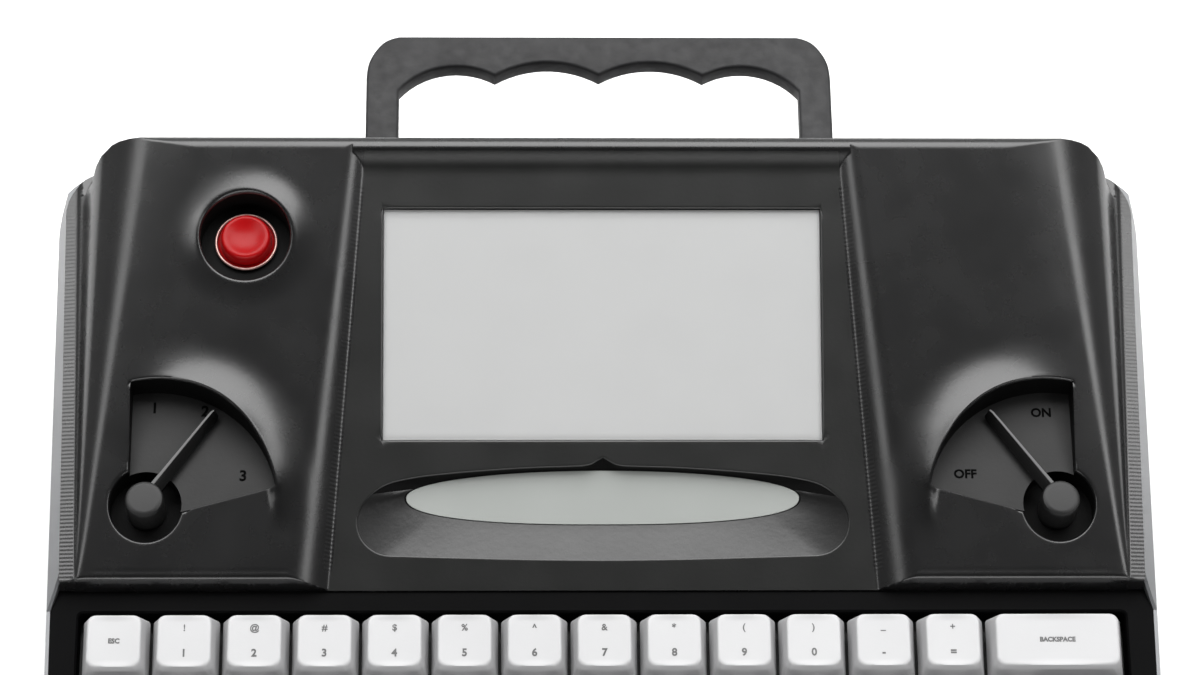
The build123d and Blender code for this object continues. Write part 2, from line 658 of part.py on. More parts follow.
# ------------------------------------------------------------- selectors
for side, label in ((-1, "left_selector_lever"), (1, "right_selector_lever")):
    hx, hv = side * HUB_X, HUB_A - 20
    ang = LEVER_ANGLE if side < 0 else 180 - LEVER_ANGLE
    ca, sa = cos(radians(ang)), sin(radians(ang))
    with BuildPart() as lever:
        with BuildSketch(MECH.offset(-5.5)):
            with Locations((hx, hv)):
                Circle(5.3)
        extrude(amount=10.5)
        chamfer(edges().group_by(Axis.Z)[-1], length=0.7)
        with BuildSketch(MECH.offset(1.0)):
            outline([(hx + ca * d - sa * w, hv + sa * d + ca * w) for d, w in
                     [(0, -2.1), (LEVER_L - 1.2, -1.3), (LEVER_L, -0.6), (LEVER_L, 0.6), (LEVER_L - 1.2, 1.3), (0, 2.1)]])
        extrude(amount=3.2)
        with BuildSketch(MECH.offset(-15.0)):
            with Locations((hx, hv)):
                Circle(3.0)
        extrude(amount=10)
    lever.part.label = label
    export_step(lever.part, "parts/%s.step" % label)

with BuildPart() as rotary_switches:
    with BuildSketch(MECH.offset(-16.2)):
        with Locations((-HUB_X, HUB_A - 20), (HUB_X, HUB_A - 20)):
            RectangleRounded(17, 17, 2)
    extrude(amount=8.1)
    with BuildSketch(MECH.offset(-15.4)):
        with Locations((-HUB_X, HUB_A - 20), (HUB_X, HUB_A - 20)):
            Circle(3.05)
    extrude(amount=12, mode=Mode.SUBTRACT)
rotary_switches.part.label = "rotary_switches"
export_step(rotary_switches.part, "parts/rotary_switches.step")

# --------------------------------------------------------- carry handle
PIV_A, PIV_Z = 128.5, 58.0
H_T = 6.0
legs = (-62.3, 62.3)
with BuildPart() as carry_handle:
    with BuildSketch(Plane.XY.offset(PIV_Z - H_T / 2)):
        with BuildLine():
            y0, y1 = YW + PIV_A + 0.0, YW + A_HANDLE
            l1 = Line((-67.0, y0), (-67.0, y1 - 14.0))
            l2 = Spline(l1 @ 1, (-64.6, y1 - 5.4), (-57.6, y1), tangents=[(0, 1), (1, 0.06)])
            l3 = Line(l2 @ 1, (57.6, y1))
            l4 = Spline(l3 @ 1, (64.6, y1 - 5.4), (67.0, y1 - 14.0), tangents=[(1, -0.06), (0, -1)])
            l5 = Line(l4 @ 1, (67.0, y0))
            l6 = Line(l5 @ 1, (57.6, y0))
            l7 = Line(l6 @ 1, (57.6, y1 - 18.4))
            s1 = ThreePointArc(l7 @ 1, (42.0, y1 - 10.2), (30.0, y1 - 13.4))
            s2 = ThreePointArc(s1 @ 1, (15.0, y1 - 8.8), (0.0, y1 - 13.2))
            s3 = ThreePointArc(s2 @ 1, (-15.0, y1 - 8.8), (-30.0, y1 - 13.4))
            s4 = ThreePointArc(s3 @ 1, (-42.0, y1 - 10.2), (-57.6, y1 - 18.4))
            l8 = Line(s4 @ 1, (-57.6, y0))
            l9 = Line(l8 @ 1, l1 @ 0)
        make_face()
    extrude(amount=H_T)
    # round eyes on the hinge pins
    for x in legs:
        with BuildSketch(Plane.YZ.offset(x - 4.7)):
            with Locations((YW + PIV_A, PIV_Z)):
                Circle(4.2)
        extrude(amount=9.4)
    for x in legs:
        with BuildSketch(Plane.YZ.offset(x - 6)):
            with Locations((YW + PIV_A, PIV_Z)):
                Circle(2.05)
        extrude(amount=12, mode=Mode.SUBTRACT)
carry_handle.part.label = "carry_handle"
export_step(carry_handle.part, "parts/carry_handle.step")

with BuildPart() as handle_brackets:
    for x in legs:
        with BuildSketch(across(A_REAR + 0.05)):
            with Locations((x, 52.0)):
                RectangleRounded(24.0, 15.0, 2.0)
        extrude(amount=-2.0)
        for e in (-6.6, 6.6):
            with BuildSketch(Plane.YZ.offset(x + e - 1.4)):
                with Locations((YW + PIV_A, PIV_Z)):
                    Circle(4.4)
                outline([(YW + A_REAR + 1.0, 46.0), (YW + PIV_A + 3.0, PIV_Z - 3.2), (YW + PIV_A - 1.0, PIV_Z + 4.28), (YW + A_REAR + 1.0, 59.4)])
            extrude(amount=2.8)
        with BuildSketch(Plane.YZ.offset(x - 12)):
            with Locations((YW + PIV_A, PIV_Z)):
                Circle(2.02)
        extrude(amount=24, mode=Mode.SUBTRACT)
    with BuildSketch(across(A_REAR - 1)):
        with Locations(*[(x + e, 52.0) for x in legs for e in (-10.0, 10.0)]):
            Circle(1.05)
    extrude(amount=-6, mode=Mode.SUBTRACT)
handle_brackets.part.label = "handle_brackets"
export_step(handle_brackets.part, "parts/handle_brackets.step")

with BuildPart() as handle_pins:
    for x in legs:
        with BuildSketch(Plane.YZ.offset(x - 8.4)):
            with Locations((YW + PIV_A, PIV_Z)):
                Circle(2.0)
        extrude(amount=16.8)
        for e0, e1 in ((-9.4, -8.3), (8.3, 9.4)):
            with BuildSketch(Plane.YZ.offset(x + e0)):
                with Locations((YW + PIV_A, PIV_Z)):
                    Circle(2.9)
            extrude(amount=e1 - e0)
handle_pins.part.label = "handle_pins"
export_step(handle_pins.part, "parts/handle_pins.step")

with BuildPart() as handle_screws:
    with BuildSketch(across(A_REAR + 2.1)):
        with Locations(*[(x + e, 52.0) for x in legs for e in (-10.0, 10.0)]):
            Circle(1.8)
    extrude(amount=-0.9)
    with BuildSketch(across(A_REAR + 2.2)):
        with Locations(*[(x + e, 52.0) for x in legs for e in (-10.0, 10.0)]):
            Circle(1.0)
    extrude(amount=2.1)
handle_screws.part.label = "handle_screws"
export_step(handle_screws.part, "parts/handle_screws.step")

with BuildPart() as case_screws:
    for x, a in case_posts:
        with BuildSketch(Plane.XY.offset(zd(a) - 11.6)):
            with Locations((x, YW + a)):
                Circle(2.7)
        extrude(amount=2.55)
        with BuildSketch(Plane.XY.offset(zd(a) - 9.5)):
            with Locations((x, YW + a)):
                Circle(1.5)
        extrude(amount=16.0)
case_screws.part.label = "case_screws"
export_step(case_screws.part, "parts/case_screws.step")
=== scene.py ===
import math
import bpy
import bmesh
import numpy as np
from mathutils import Vector, Matrix
from mathutils.geometry import delaunay_2d_cdt


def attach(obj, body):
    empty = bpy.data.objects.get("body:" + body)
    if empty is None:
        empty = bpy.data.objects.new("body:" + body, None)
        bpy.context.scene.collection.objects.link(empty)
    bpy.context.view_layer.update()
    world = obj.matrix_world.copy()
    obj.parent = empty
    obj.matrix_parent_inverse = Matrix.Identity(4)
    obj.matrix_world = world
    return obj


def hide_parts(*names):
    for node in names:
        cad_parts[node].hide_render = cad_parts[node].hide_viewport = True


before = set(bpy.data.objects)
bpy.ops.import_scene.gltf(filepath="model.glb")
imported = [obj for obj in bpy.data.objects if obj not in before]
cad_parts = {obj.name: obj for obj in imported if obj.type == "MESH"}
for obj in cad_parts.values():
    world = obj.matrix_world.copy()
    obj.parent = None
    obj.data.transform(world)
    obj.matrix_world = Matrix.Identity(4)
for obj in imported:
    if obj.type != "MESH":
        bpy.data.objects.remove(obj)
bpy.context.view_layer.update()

MM = 0.001
YW = -30.0
rad = math.radians
A_REAR = 121.0


# --------------------------------------------------------------------------
# planes of the object, millimetres; a = distance behind the frame line y = -30
# --------------------------------------------------------------------------
def lerp(a0, v0, a1, v1, a):
    return v0 + (v1 - v0) * (a - a0) / (a1 - a0)


def zd(a):
    return 40.0 + math.tan(rad(5.0)) * a


def zl(a):
    return 45.0 + math.tan(rad(7.5)) * (a - 3.0)


def zt(a):
    return 46.7 + math.tan(rad(17.7)) * (a - 3.0)


def zp(a):
    return 40.5 + math.tan(rad(19.0)) * a


class Tilt:
    """A plane that rises towards the rear: local x, v, n in millimetres."""

    def __init__(self, a, z, degrees):
        t = rad(degrees)
        self.o = np.array([0.0, YW + a, z])
        self.v = np.array([0.0, math.cos(t), math.sin(t)])
        self.n = np.array([0.0, -math.sin(t), math.cos(t)])

    def at(self, x, v, n=0.0):
        x, v, n = np.broadcast_arrays(np.asarray(x, float), np.asarray(v, float), np.asarray(n, float))
        p = self.o + v[..., None] * self.v + n[..., None] * self.n
        p[..., 0] = x
        return p


DECK = Tilt(0.0, 40.0, 5.0)
PANEL = Tilt(0.0, 40.5, 19.0)
MECH = Tilt(20.0, 51.8, 3.0)
SEAT = Tilt(94.0, 69.5, 3.0)
HUB_X, HUB_V = 125.7, 1.7
FAN_R, CUP_R = 34.3, 9.9
FAN_U, FAN_V = -1.6, -0.6
BUTTON_X = -99.2
OVAL_U = 27.0
BUTTON_RX, BUTTON_RV, BUTTON_DV = 12.5, 11.85, -0.6


# --------------------------------------------------------------------------
# mesh helpers
# --------------------------------------------------------------------------
class Sheet:
    """Collects vertices (mm) and faces, then becomes one mesh object."""

    def __init__(self):
        self.v, self.f, self.m = [], [], []

    def add(self, points, faces, mat=0):
        base = len(self.v)
        self.v.extend([tuple(map(float, p)) for p in points])
        for f in faces:
            self.f.append([base + i for i in f])
            self.m.append(mat)
        return base

    def band(self, a, b, mat=0, closed=True, flip=False):
        """Quads between two rows of points of the same length."""
        n = len(a)
        faces = []
        for i in range(n if closed else n - 1):
            j = (i + 1) % n
            q = [i, j, n + j, n + i]
            faces.append(q[::-1] if flip else q)
        self.add(list(a) + list(b), faces, mat)

    def cap(self, loop, mat=0, flip=False):
        """Flat face inside a loop."""
        idx = list(range(len(loop)))
        self.add(loop, [idx[::-1] if flip else idx], mat)

    def build(self, name, materials, sharp=38.0, weld=0.004):
        me = bpy.data.meshes.new(name)
        me.from_pydata([Vector(p) * MM for p in self.v], [], self.f)
        for m in materials:
            me.materials.append(m)
        me.polygons.foreach_set("material_index", self.m)
        bm = bmesh.new()
        bm.from_mesh(me)
        bmesh.ops.remove_doubles(bm, verts=bm.verts, dist=weld * MM)
        bmesh.ops.dissolve_degenerate(bm, edges=bm.edges, dist=0.0015 * MM)
        bm.to_mesh(me)
        bm.free()
        me.polygons.foreach_set("use_smooth", [True] * len(me.polygons))
        me.set_sharp_from_angle(angle=rad(sharp))
        me.update()
        ob = bpy.data.objects.new(name, me)
        bpy.context.scene.collection.objects.link(ob)
        return ob


def inside(px, py, poly):
    """Point in polygon for arrays of points."""
    poly = np.asarray(poly)
    x0, y0 = poly[:, 0], poly[:, 1]
    x1, y1 = np.roll(x0, -1), np.roll(y0, -1)
    res = np.zeros(len(px), bool)
    for k in range(len(x0)):
        if y0[k] == y1[k]:
            continue
        cond = (y0[k] > py) != (y1[k] > py)
        xs = (x1[k] - x0[k]) * (py - y0[k]) / (y1[k] - y0[k]) + x0[k]
        res ^= cond & (px < xs)
    return res


def dist_to(px, py, poly):
    """Distance of arrays of points from a closed polyline."""
    poly = np.asarray(poly)
    best = np.full(len(px), 1e9)
    for k in range(len(poly)):
        ax, ay = poly[k]
        bx, by = poly[(k + 1) % len(poly)]
        dx, dy = bx - ax, by - ay
        l2 = dx * dx + dy * dy
        if l2 < 1e-12:
            continue
        t = np.clip(((px - ax) * dx + (py - ay) * dy) / l2, 0, 1)
        best = np.minimum(best, np.hypot(px - ax - t * dx, py - ay - t * dy))
    return best


def resample(points, step, closed=False):
    """Points at an even spacing along a polyline."""
    p = np.asarray(points, float)
    if closed:
        p = np.vstack([p, p[:1]])
    seg = np.linalg.norm(np.diff(p, axis=0), axis=1)
    s = np.concatenate([[0], np.cumsum(seg)])
    n = max(2, int(round(s[-1] / step)))
    t = np.linspace(0, s[-1], n + 1)
    q = np.stack([np.interp(t, s, p[:, 0]), np.interp(t, s, p[:, 1])], 1)
    return q[:-1] if closed else q


def spline(points, step, closed=True):
    """Smooth closed curve through points (centripetal Catmull-Rom), evenly sampled."""
    p = np.asarray(points, float)
    n = len(p)
    out = []
    for i in range(n if closed else n - 1):
        p0, p1, p2, p3 = p[(i - 1) % n], p[i], p[(i + 1) % n], p[(i + 2) % n]
        t01 = max(np.linalg.norm(p1 - p0) ** 0.5, 1e-6)
        t12 = max(np.linalg.norm(p2 - p1) ** 0.5, 1e-6)
        t23 = max(np.linalg.norm(p3 - p2) ** 0.5, 1e-6)
        m1 = p2 - p1 + t12 * ((p1 - p0) / t01 - (p2 - p0) / (t01 + t12))
        m2 = p2 - p1 + t12 * ((p3 - p2) / t23 - (p3 - p1) / (t12 + t23))
        for t in np.linspace(0, 1, 12, endpoint=False):
            out.append((2 * t**3 - 3 * t * t + 1) * p1 + (t**3 - 2 * t * t + t) * m1 + (-2 * t**3 + 3 * t * t) * p2 + (t**3 - t * t) * m2)
    return resample(np.array(out), step, closed)


def offset_loop(loop, d):
    """A closed counterclockwise loop moved outwards by about d."""
    p = np.asarray(loop, float)
    e = np.roll(p, -1, 0) - p
    n = np.stack([e[:, 1], -e[:, 0]], 1)
    n /= np.maximum(np.linalg.norm(n, axis=1, keepdims=True), 1e-9)
    m = n + np.roll(n, 1, 0)
    m /= np.maximum(np.linalg.norm(m, axis=1, keepdims=True), 1e-9)
    return p + m * d


def ccw(loop):
    p = np.asarray(loop, float)
    area = np.sum(p[:, 0] * np.roll(p[:, 1], -1) - np.roll(p[:, 0], -1) * p[:, 1])
    return p if area > 0 else p[::-1]


def circle(cx, cy, r, n, a0=0.0):
    t = a0 + np.arange(n) * 2 * math.pi / n
    return np.stack([cx + r * np.cos(t), cy + r * np.sin(t)], 1)


def triangulate(outer, holes, points, eps=1e-5):
    """Delaunay mesh of the region between outer and holes, through all points."""
    verts = [Vector(p) for p in outer]
    edges = [(i, (i + 1) % len(outer)) for i in range(len(outer))]
    for h in holes:
        b = len(verts)
        verts += [Vector(p) for p in h]
        edges += [(b + i, b + (i + 1) % len(h)) for i in range(len(h))]
    verts += [Vector(p) for p in points]
    v, e, f, ov, oe, of = delaunay_2d_cdt(verts, edges, [], 0, eps)
    v = np.array([[q.x, q.y] for q in v])
    f = np.array([t for t in f if len(t) == 3])
    c = v[f].mean(1)
    keep = inside(c[:, 0], c[:, 1], outer)
    for h in holes:
        keep &= ~inside(c[:, 0], c[:, 1], h)
    return v, f[keep]


def smoothstep(t):
    t = np.clip(t, 0, 1)
    return t * t * (3 - 2 * t)


def smin(a, b, k):
    h = np.clip(0.5 + 0.5 * (b - a) / k, 0, 1)
    return b * (1 - h) + a * h - k * h * (1 - h)


# --------------------------------------------------------------------------
# materials: every one is procedural
# --------------------------------------------------------------------------
def new_mat(name):
    m = bpy.data.materials.new(name)
    m.use_nodes = True
    nt = m.node_tree
    nt.nodes.clear()
    out = nt.nodes.new("ShaderNodeOutputMaterial")
    b = nt.nodes.new("ShaderNodeBsdfPrincipled")
    nt.links.new(b.outputs["BSDF"], out.inputs["Surface"])
    return m, nt, b


def obj_coords(nt, scale=(1, 1, 1)):
    tc = nt.nodes.new("ShaderNodeTexCoord")
    mp = nt.nodes.new("ShaderNodeMapping")
    mp.inputs["Scale"].default_value = scale
    nt.links.new(tc.outputs["Object"], mp.inputs["Vector"])
    return mp.outputs["Vector"]


def noise(nt, vec, scale, detail=3.0, rough=0.55):
    n = nt.nodes.new("ShaderNodeTexNoise")
    n.inputs["Scale"].default_value = scale
    n.inputs["Detail"].default_value = detail
    n.inputs["Roughness"].default_value = rough
    nt.links.new(vec, n.inputs["Vector"])
    return n.outputs["Fac"]


def ramp(nt, fac, stops):
    r = nt.nodes.new("ShaderNodeValToRGB")
    els = r.color_ramp.elements
    while len(els) > 1:
        els.remove(els[-1])
    for i, (pos, col) in enumerate(stops):
        if isinstance(col, (int, float)):
            col = (col, col, col)
        el = els[0] if i == 0 else els.new(pos)
        el.position = pos
        el.color = (col[0], col[1], col[2], 1)
    nt.links.new(fac, r.inputs["Fac"])
    return r.outputs["Color"]


def bump(nt, height, strength, distance, normal=None):
    b = nt.nodes.new("ShaderNodeBump")
    b.inputs["Strength"].default_value = strength
    b.inputs["Distance"].default_value = distance
    nt.links.new(height, b.inputs["Height"])
    if normal is not None:
        nt.links.new(normal, b.inputs["Normal"])
    return b.outputs["Normal"]


def moulded(name, lo, hi, rough, spec=0.5, grain=420.0, grain_d=0.00004, layers=0.0, layer_pitch=0.0006, metallic=0.0,
            coat=0.0, rough_var=0.03, patch=14.0, lines="Z"):
    """Moulded or printed plastic: slow colour drift, fine grain, optional horizontal print lines."""
    m, nt, b = new_mat(name)
    vec = obj_coords(nt)
    nt.links.new(ramp(nt, noise(nt, vec, patch, 4.0), [(0.3, lo), (0.7, hi)]), b.inputs["Base Color"])
    nt.links.new(ramp(nt, noise(nt, vec, patch * 5, 5.0), [(0.25, rough - rough_var), (0.75, rough + rough_var)]), b.inputs["Roughness"])
    b.inputs["Specular IOR Level"].default_value = spec
    b.inputs["Metallic"].default_value = metallic
    if coat:
        b.inputs["Coat Weight"].default_value = coat
        b.inputs["Coat Roughness"].default_value = 0.25
    nrm = bump(nt, noise(nt, vec, grain, 3.0, 0.6), 0.6, grain_d)
    if layers:
        w = nt.nodes.new("ShaderNodeTexWave")
        w.wave_type = "BANDS"
        w.bands_direction = lines
        w.wave_profile = "SIN"
        w.inputs["Scale"].default_value = 0.314159 / layer_pitch
        w.inputs["Distortion"].default_value = 0.25
        w.inputs["Detail"].default_value = 1.0
        w.inputs["Detail Scale"].default_value = 0.4
        nt.links.new(vec, w.inputs["Vector"])
        nrm = bump(nt, w.outputs["Fac"], layers, 0.00006, nrm)
    nt.links.new(nrm, b.inputs["Normal"])
    return m


MAT = {}
MAT["hood"] = moulded("hood_black_print", (0.0028, 0.0028, 0.0029), (0.0045, 0.0045, 0.0047), 0.27, spec=0.62, grain=900, grain_d=0.00003)
MAT["ridge"] = moulded("ledge_black_print", (0.003, 0.003, 0.0031), (0.005, 0.005, 0.0052), 0.28, spec=0.62, grain=900, grain_d=0.00003, layers=0.4, layer_pitch=0.0011, lines="Y")
MAT["panel"] = moulded("panel_black_print", (0.0032, 0.0034, 0.0031), (0.0055, 0.0058, 0.0054), 0.34, spec=0.58, grain=900, grain_d=0.00004)
MAT["tray"] = moulded("tray_black_print", (0.003, 0.003, 0.003), (0.005, 0.005, 0.005), 0.30, spec=0.55, grain=600, grain_d=0.00006)
MAT["dial"] = moulded("dial_floor_grey", (0.004, 0.004, 0.004), (0.008, 0.008, 0.008), 0.58, spec=0.32, grain=700, grain_d=0.00008)
# painted shade: the recess walls, hub cups, window and oval walls, the tray's upper facets and the bead's inner ledge
# are the hood's black plastic; this darker, barely reflective colour stands in for the shade that falls inside the
# recesses
MAT["cup"] = moulded("recess_black_painted_shade", (0.001, 0.001, 0.001), (0.002, 0.002, 0.002), 0.60, spec=0.08, grain=600, grain_d=0.00004)
MAT["deck"] = moulded("deck_black", (0.0012, 0.0012, 0.0013), (0.002, 0.002, 0.0022), 0.5, spec=0.03, grain=1100, grain_d=0.00004)
MAT["silver"] = moulded("tub_silver_paint", (0.13, 0.133, 0.138), (0.165, 0.168, 0.174), 0.36, metallic=0.5, grain=2400, grain_d=0.00002)
MAT["lever"] = moulded("lever_black", (0.002, 0.002, 0.002), (0.004, 0.004, 0.004), 0.22, grain=700, grain_d=0.00002)
MAT["hub"] = moulded("lever_hub_black", (0.006, 0.006, 0.006), (0.009, 0.009, 0.009), 0.42, spec=0.30, grain=700, grain_d=0.00004)
MAT["handle"] = moulded("handle_charcoal", (0.010, 0.010, 0.0105), (0.018, 0.018, 0.019), 0.58, spec=0.3, grain=520, grain_d=0.00012, rough_var=0.1, patch=60)
MAT["red"] = moulded("button_red", (0.24, 0.001, 0.002), (0.30, 0.002, 0.003), 0.32, spec=0.16, grain=500, grain_d=0.00001)
# painted reflection: the ring is metal; the pink tint in its colour stands in for the red cap reflected in it
MAT["ring"] = moulded("button_ring_metal_painted_red_reflection", (0.40, 0.24, 0.22), (0.52, 0.33, 0.30), 0.35, metallic=0.7, grain=900, grain_d=0.00001)
MAT["key"] = moulded("keycap_white", (0.388, 0.388, 0.393), (0.418, 0.418, 0.423), 0.42, grain=1500, grain_d=0.00002, rough_var=0.05)
MAT["legend"] = moulded("legend_grey", (0.06, 0.06, 0.06), (0.1, 0.1, 0.1), 0.6, grain=900, grain_d=0.00001)
MAT["engrave"] = moulded("engraved_black", (0.0005, 0.0005, 0.0005), (0.001, 0.001, 0.001), 0.6, spec=0.02, grain=900, grain_d=0.00001)
MAT["steel"] = moulded("steel", (0.50, 0.50, 0.51), (0.60, 0.60, 0.61), 0.30, metallic=1.0, grain=1500, grain_d=0.00001)
MAT["rubber"] = moulded("rubber_black", (0.010, 0.010, 0.010), (0.016, 0.016, 0.016), 0.75, grain=500, grain_d=0.00006)
MAT["switch"] = moulded("switch_black", (0.008, 0.008, 0.009), (0.013, 0.013, 0.014), 0.40, grain=700, grain_d=0.00002)
MAT["pcb"] = moulded("circuit_board_green", (0.008, 0.055, 0.022), (0.014, 0.085, 0.035), 0.35, grain=260, grain_d=0.00006)
MAT["wrap"] = moulded("battery_wrap_blue", (0.03, 0.07, 0.16), (0.05, 0.10, 0.22), 0.4, grain=300, grain_d=0.00004)
MAT["amber"] = moulded("cable_amber", (0.42, 0.20, 0.04), (0.52, 0.27, 0.07), 0.35, grain=300, grain_d=0.00003)
MAT["bracket"] = moulded("bracket_black_steel", (0.020, 0.020, 0.020), (0.032, 0.032, 0.032), 0.45, metallic=0.6, grain=900, grain_d=0.00003)


def paper(name, lo, hi, scale):
    m, nt, b = new_mat(name)
    vec = obj_coords(nt)
    nt.links.new(ramp(nt, noise(nt, vec, scale, 2.0), [(0.3, lo), (0.7, hi)]), b.inputs["Base Color"])
    nt.links.new(ramp(nt, noise(nt, vec, scale * 4, 3.0), [(0.3, 0.5), (0.7, 0.6)]), b.inputs["Roughness"])
    nt.links.new(bump(nt, noise(nt, vec, 1600, 2.0), 0.4, 0.00001), b.inputs["Normal"])
    return m


MAT["paper"] = paper("paper_display", (0.50, 0.51, 0.505), (0.54, 0.55, 0.545), 6)


def lens(name, tint, rough):
    m, nt, b = new_mat(name)
    vec = obj_coords(nt)
    nt.links.new(ramp(nt, noise(nt, vec, 8, 2.0), [(0.3, tint), (0.7, [min(1, c * 1.03) for c in tint])]), b.inputs["Base Color"])
    nt.links.new(ramp(nt, noise(nt, vec, 90, 4.0), [(0.3, rough * 0.8), (0.7, rough * 1.2)]), b.inputs["Roughness"])
    b.inputs["Specular IOR Level"].default_value = 0.35
    nt.links.new(bump(nt, noise(nt, vec, 2200, 2.0), 0.3, 0.000008), b.inputs["Normal"])
    return m


MAT["screen"] = lens("screen_grey", (0.345, 0.347, 0.346), 0.42)
MAT["status"] = lens("status_grey_green", (0.264, 0.276, 0.264), 0.42)


# --------------------------------------------------------------------------
# surface of the display hood
# --------------------------------------------------------------------------
def dial_uv(x, a):
    """Coordinates about the nearest selector hub: u outwards, v rearwards."""
    return np.abs(x) - HUB_X, (a - 20.0 - HUB_V) / math.cos(rad(3.0))


def brow(x, a):
    """Flared brow round the arc of each dial."""
    u, v = dial_uv(x, a)
    r = np.hypot(u - FAN_U, v - FAN_V)
    psi = np.degrees(np.arctan2(v, -u))
    width = 10.0 + 4.0 * np.exp(-((psi - 40.0) / 34.0) ** 2)
    d = r - FAN_R
    out = np.clip(1 - d / width, 0, 1) ** 2.0
    fall = np.where(d > 0, out, smoothstep((d + 2.0) / 2.0))
    ends = smoothstep((psi + 12.0) / 42.0) * smoothstep((100.0 - psi) / 58.0)
    return 3.7 * fall * ends


def collar(x, a):
    """Flared collar round the power button recess."""
    du, dv = x - BUTTON_X, (a - 94.0 - BUTTON_DV)
    r = np.hypot(du, dv * BUTTON_RX / BUTTON_RV)
    d = r - BUTTON_RX
    turn = np.degrees(np.arctan2(dv, du))
    h = 0.8 + 1.4 * np.exp(-(((turn - 35.0) / 45.0) ** 2)) + 0.8 * np.exp(-(((180.0 - np.abs(turn)) / 25.0) ** 2))
    return h * np.where(d > 0, np.clip(1 - d / 8.5, 0, 1) ** 2.0, 1.0)


def section(x, a):
    """Cross section of the hood without its openings."""
    x = np.abs(x)
    x0 = lerp(3, 75.5, 121, 65.9, a)
    x1 = lerp(3, 82.4, 121, 69.4, a)
    xq = lerp(3, 139.5, 121, 120.0, a)
    x2 = lerp(3, 143.0, 121, 131.5, a)
    x3, z3 = lerp(3, 144.0, 121, 141.5, a), lerp(3, 46.5, 121, 75.4, a)
    x4, z4 = lerp(3, 144.8, 121, 146.5, a), lerp(3, 46.0, 121, 62.2, a)
    x5, z5 = lerp(3, 148.7, 121, 151.0, a), zl(a) + 0.75
    ztop, zpan = zt(a), zp(a)
    m = lerp(3, 0.02, 121, 0.15, a)
    z2 = ztop - m * (x2 - xq)
    s01 = (ztop - zpan) / (x1 - x0)
    s23 = (z3 - z2) / (x3 - x2)
    s34 = (z4 - z3) / (x4 - x3)
    s45 = (z5 - z4) / (x5 - x4)
    corners = [
        (x0, s01, 0.55 + 0 * a),
        (x1, -s01, lerp(3, 4.8, 121, 2.0, a)),
        (xq, -m, lerp(3, 2.5, 121, 9.0, a)),
        (x2, s23 + m, lerp(3, 0.5, 121, 6.6, a)),
        (x3, s34 - s23, lerp(3, 0.45, 121, 2.4, a)),
        (x4, s45 - s34, lerp(3, 0.4, 121, 1.9, a)),
    ]
    z = zpan + 0 * x
    for xc, ds, h in corners:
        t = x - xc
        z = z + ds * np.where(t <= -h, 0, np.where(t >= h, t, (t + h) ** 2 / (4 * h)))
    return z


def lip(a):
    """Front profile: a leaning face, then a round."""
    a = np.asarray(a, float)
    c_a, c_z, r = 4.0, 44.62, 2.35
    dx = np.clip((a - c_a) / r, -1, 0)
    arc = c_z + r * np.sqrt(np.maximum(0, 1 - dx * dx))
    face = 40.92 + (a - 0.9) * 5.6
    low = np.minimum(face, np.where(a < c_a - r, 1e3, arc))
    return np.where(a > c_a, c_z + r + (a - c_a) * 3.0, low)


def rim(x, a):
    """Soft cove at the rear that closes the panel recess."""
    t = np.clip((a - 111.6) / 5.9, 0, 1)
    return np.where(a < 111.6, -1e3, zp(a) + (zt(a) - zp(a)) * smoothstep(t**1.3))


def rear(a):
    """Round of 4 mm along the rear edge."""
    a = np.asarray(a, float)
    r, a0, s0 = 4.0, 117.1, math.sin(rad(17.7))
    sn = np.clip(s0 - (a - a0) / r, -0.98, s0)
    return np.where(a > a0, zt(a0) + r * (np.sqrt(1 - sn * sn) - math.cos(rad(17.7))), 400.0)


def corner(x, a):
    """Rounded rear corners of the raised part."""
    qx, qa = np.maximum(np.abs(x) - 135.5, 0), a - 113.5
    r = np.hypot(qx, np.maximum(qa, 0))
    pts = [(0, 400), (3.9, 100.0), (4.5, 84.6), (5.2, 83.9), (5.8, 82.9), (6.3, 81.4), (6.7, 79.4), (7.0, 77.0), (7.3, 73.5), (7.6, 68.5), (7.9, 64.0), (8.3, 62.9), (10.0, 62.3), (60.0, 61.0)]
    h = np.interp(r, [p[0] for p in pts], [p[1] for p in pts])
    w = smoothstep(np.degrees(np.arctan2(qx, np.maximum(qa, 1e-6))) / 32.0)
    return np.where(qa > 0, rear(a) * (1 - w) + h * w, 400.0)


def hood_z(x, a):
    x, a = np.asarray(x, float), np.asarray(a, float)
    f = section(x, a)
    x0 = lerp(3, 75.5, 121, 65.9, a)
    f = np.where(np.abs(x) < x0 + 3.5, np.maximum(f, np.minimum(rim(x, a), zt(a))), f)
    fade = smoothstep((a - 4.0) / 8.0)
    f = f + brow(x, a) * fade + np.where(x < 0, collar(x, a), 0)
    f = np.minimum(f, lip(a))
    return np.minimum(f, corner(x, a))


def fan_outline():
    """Dial and hub cup together, in (u, v) about the hub, counterclockwise."""
    out = [(4.6, 8.77)]
    c0, c1 = (4.6 - FAN_U) / FAN_R, (4.55 - FAN_V) / FAN_R
    a0, a1 = math.acos(c0), math.pi - math.asin(c1)
    for t in np.linspace(a0, a1, 46):
        out.append((FAN_U + FAN_R * math.cos(t), FAN_V + FAN_R * math.sin(t)))
    out += [(-11.9, -1.5), (-9.8, -2.0)]
    b0, b1 = math.atan2(-2.0, -9.8) % (2 * math.pi), 2 * math.pi + math.atan2(8.77, 4.6)
    for t in np.linspace(b0, b1, 34)[1:-1]:
        out.append((CUP_R * math.cos(t), CUP_R * math.sin(t)))
    return np.array(out)


def dense(loop, step):
    """Adds points so that no edge of a closed loop is longer than step; keeps its corners."""
    p = np.asarray(loop, float)
    out = []
    for i in range(len(p)):
        q, r = p[i], p[(i + 1) % len(p)]
        n = max(1, int(math.ceil(np.linalg.norm(r - q) / step)))
        for k in range(n):
            out.append(q + (r - q) * k / n)
    return np.array(out)


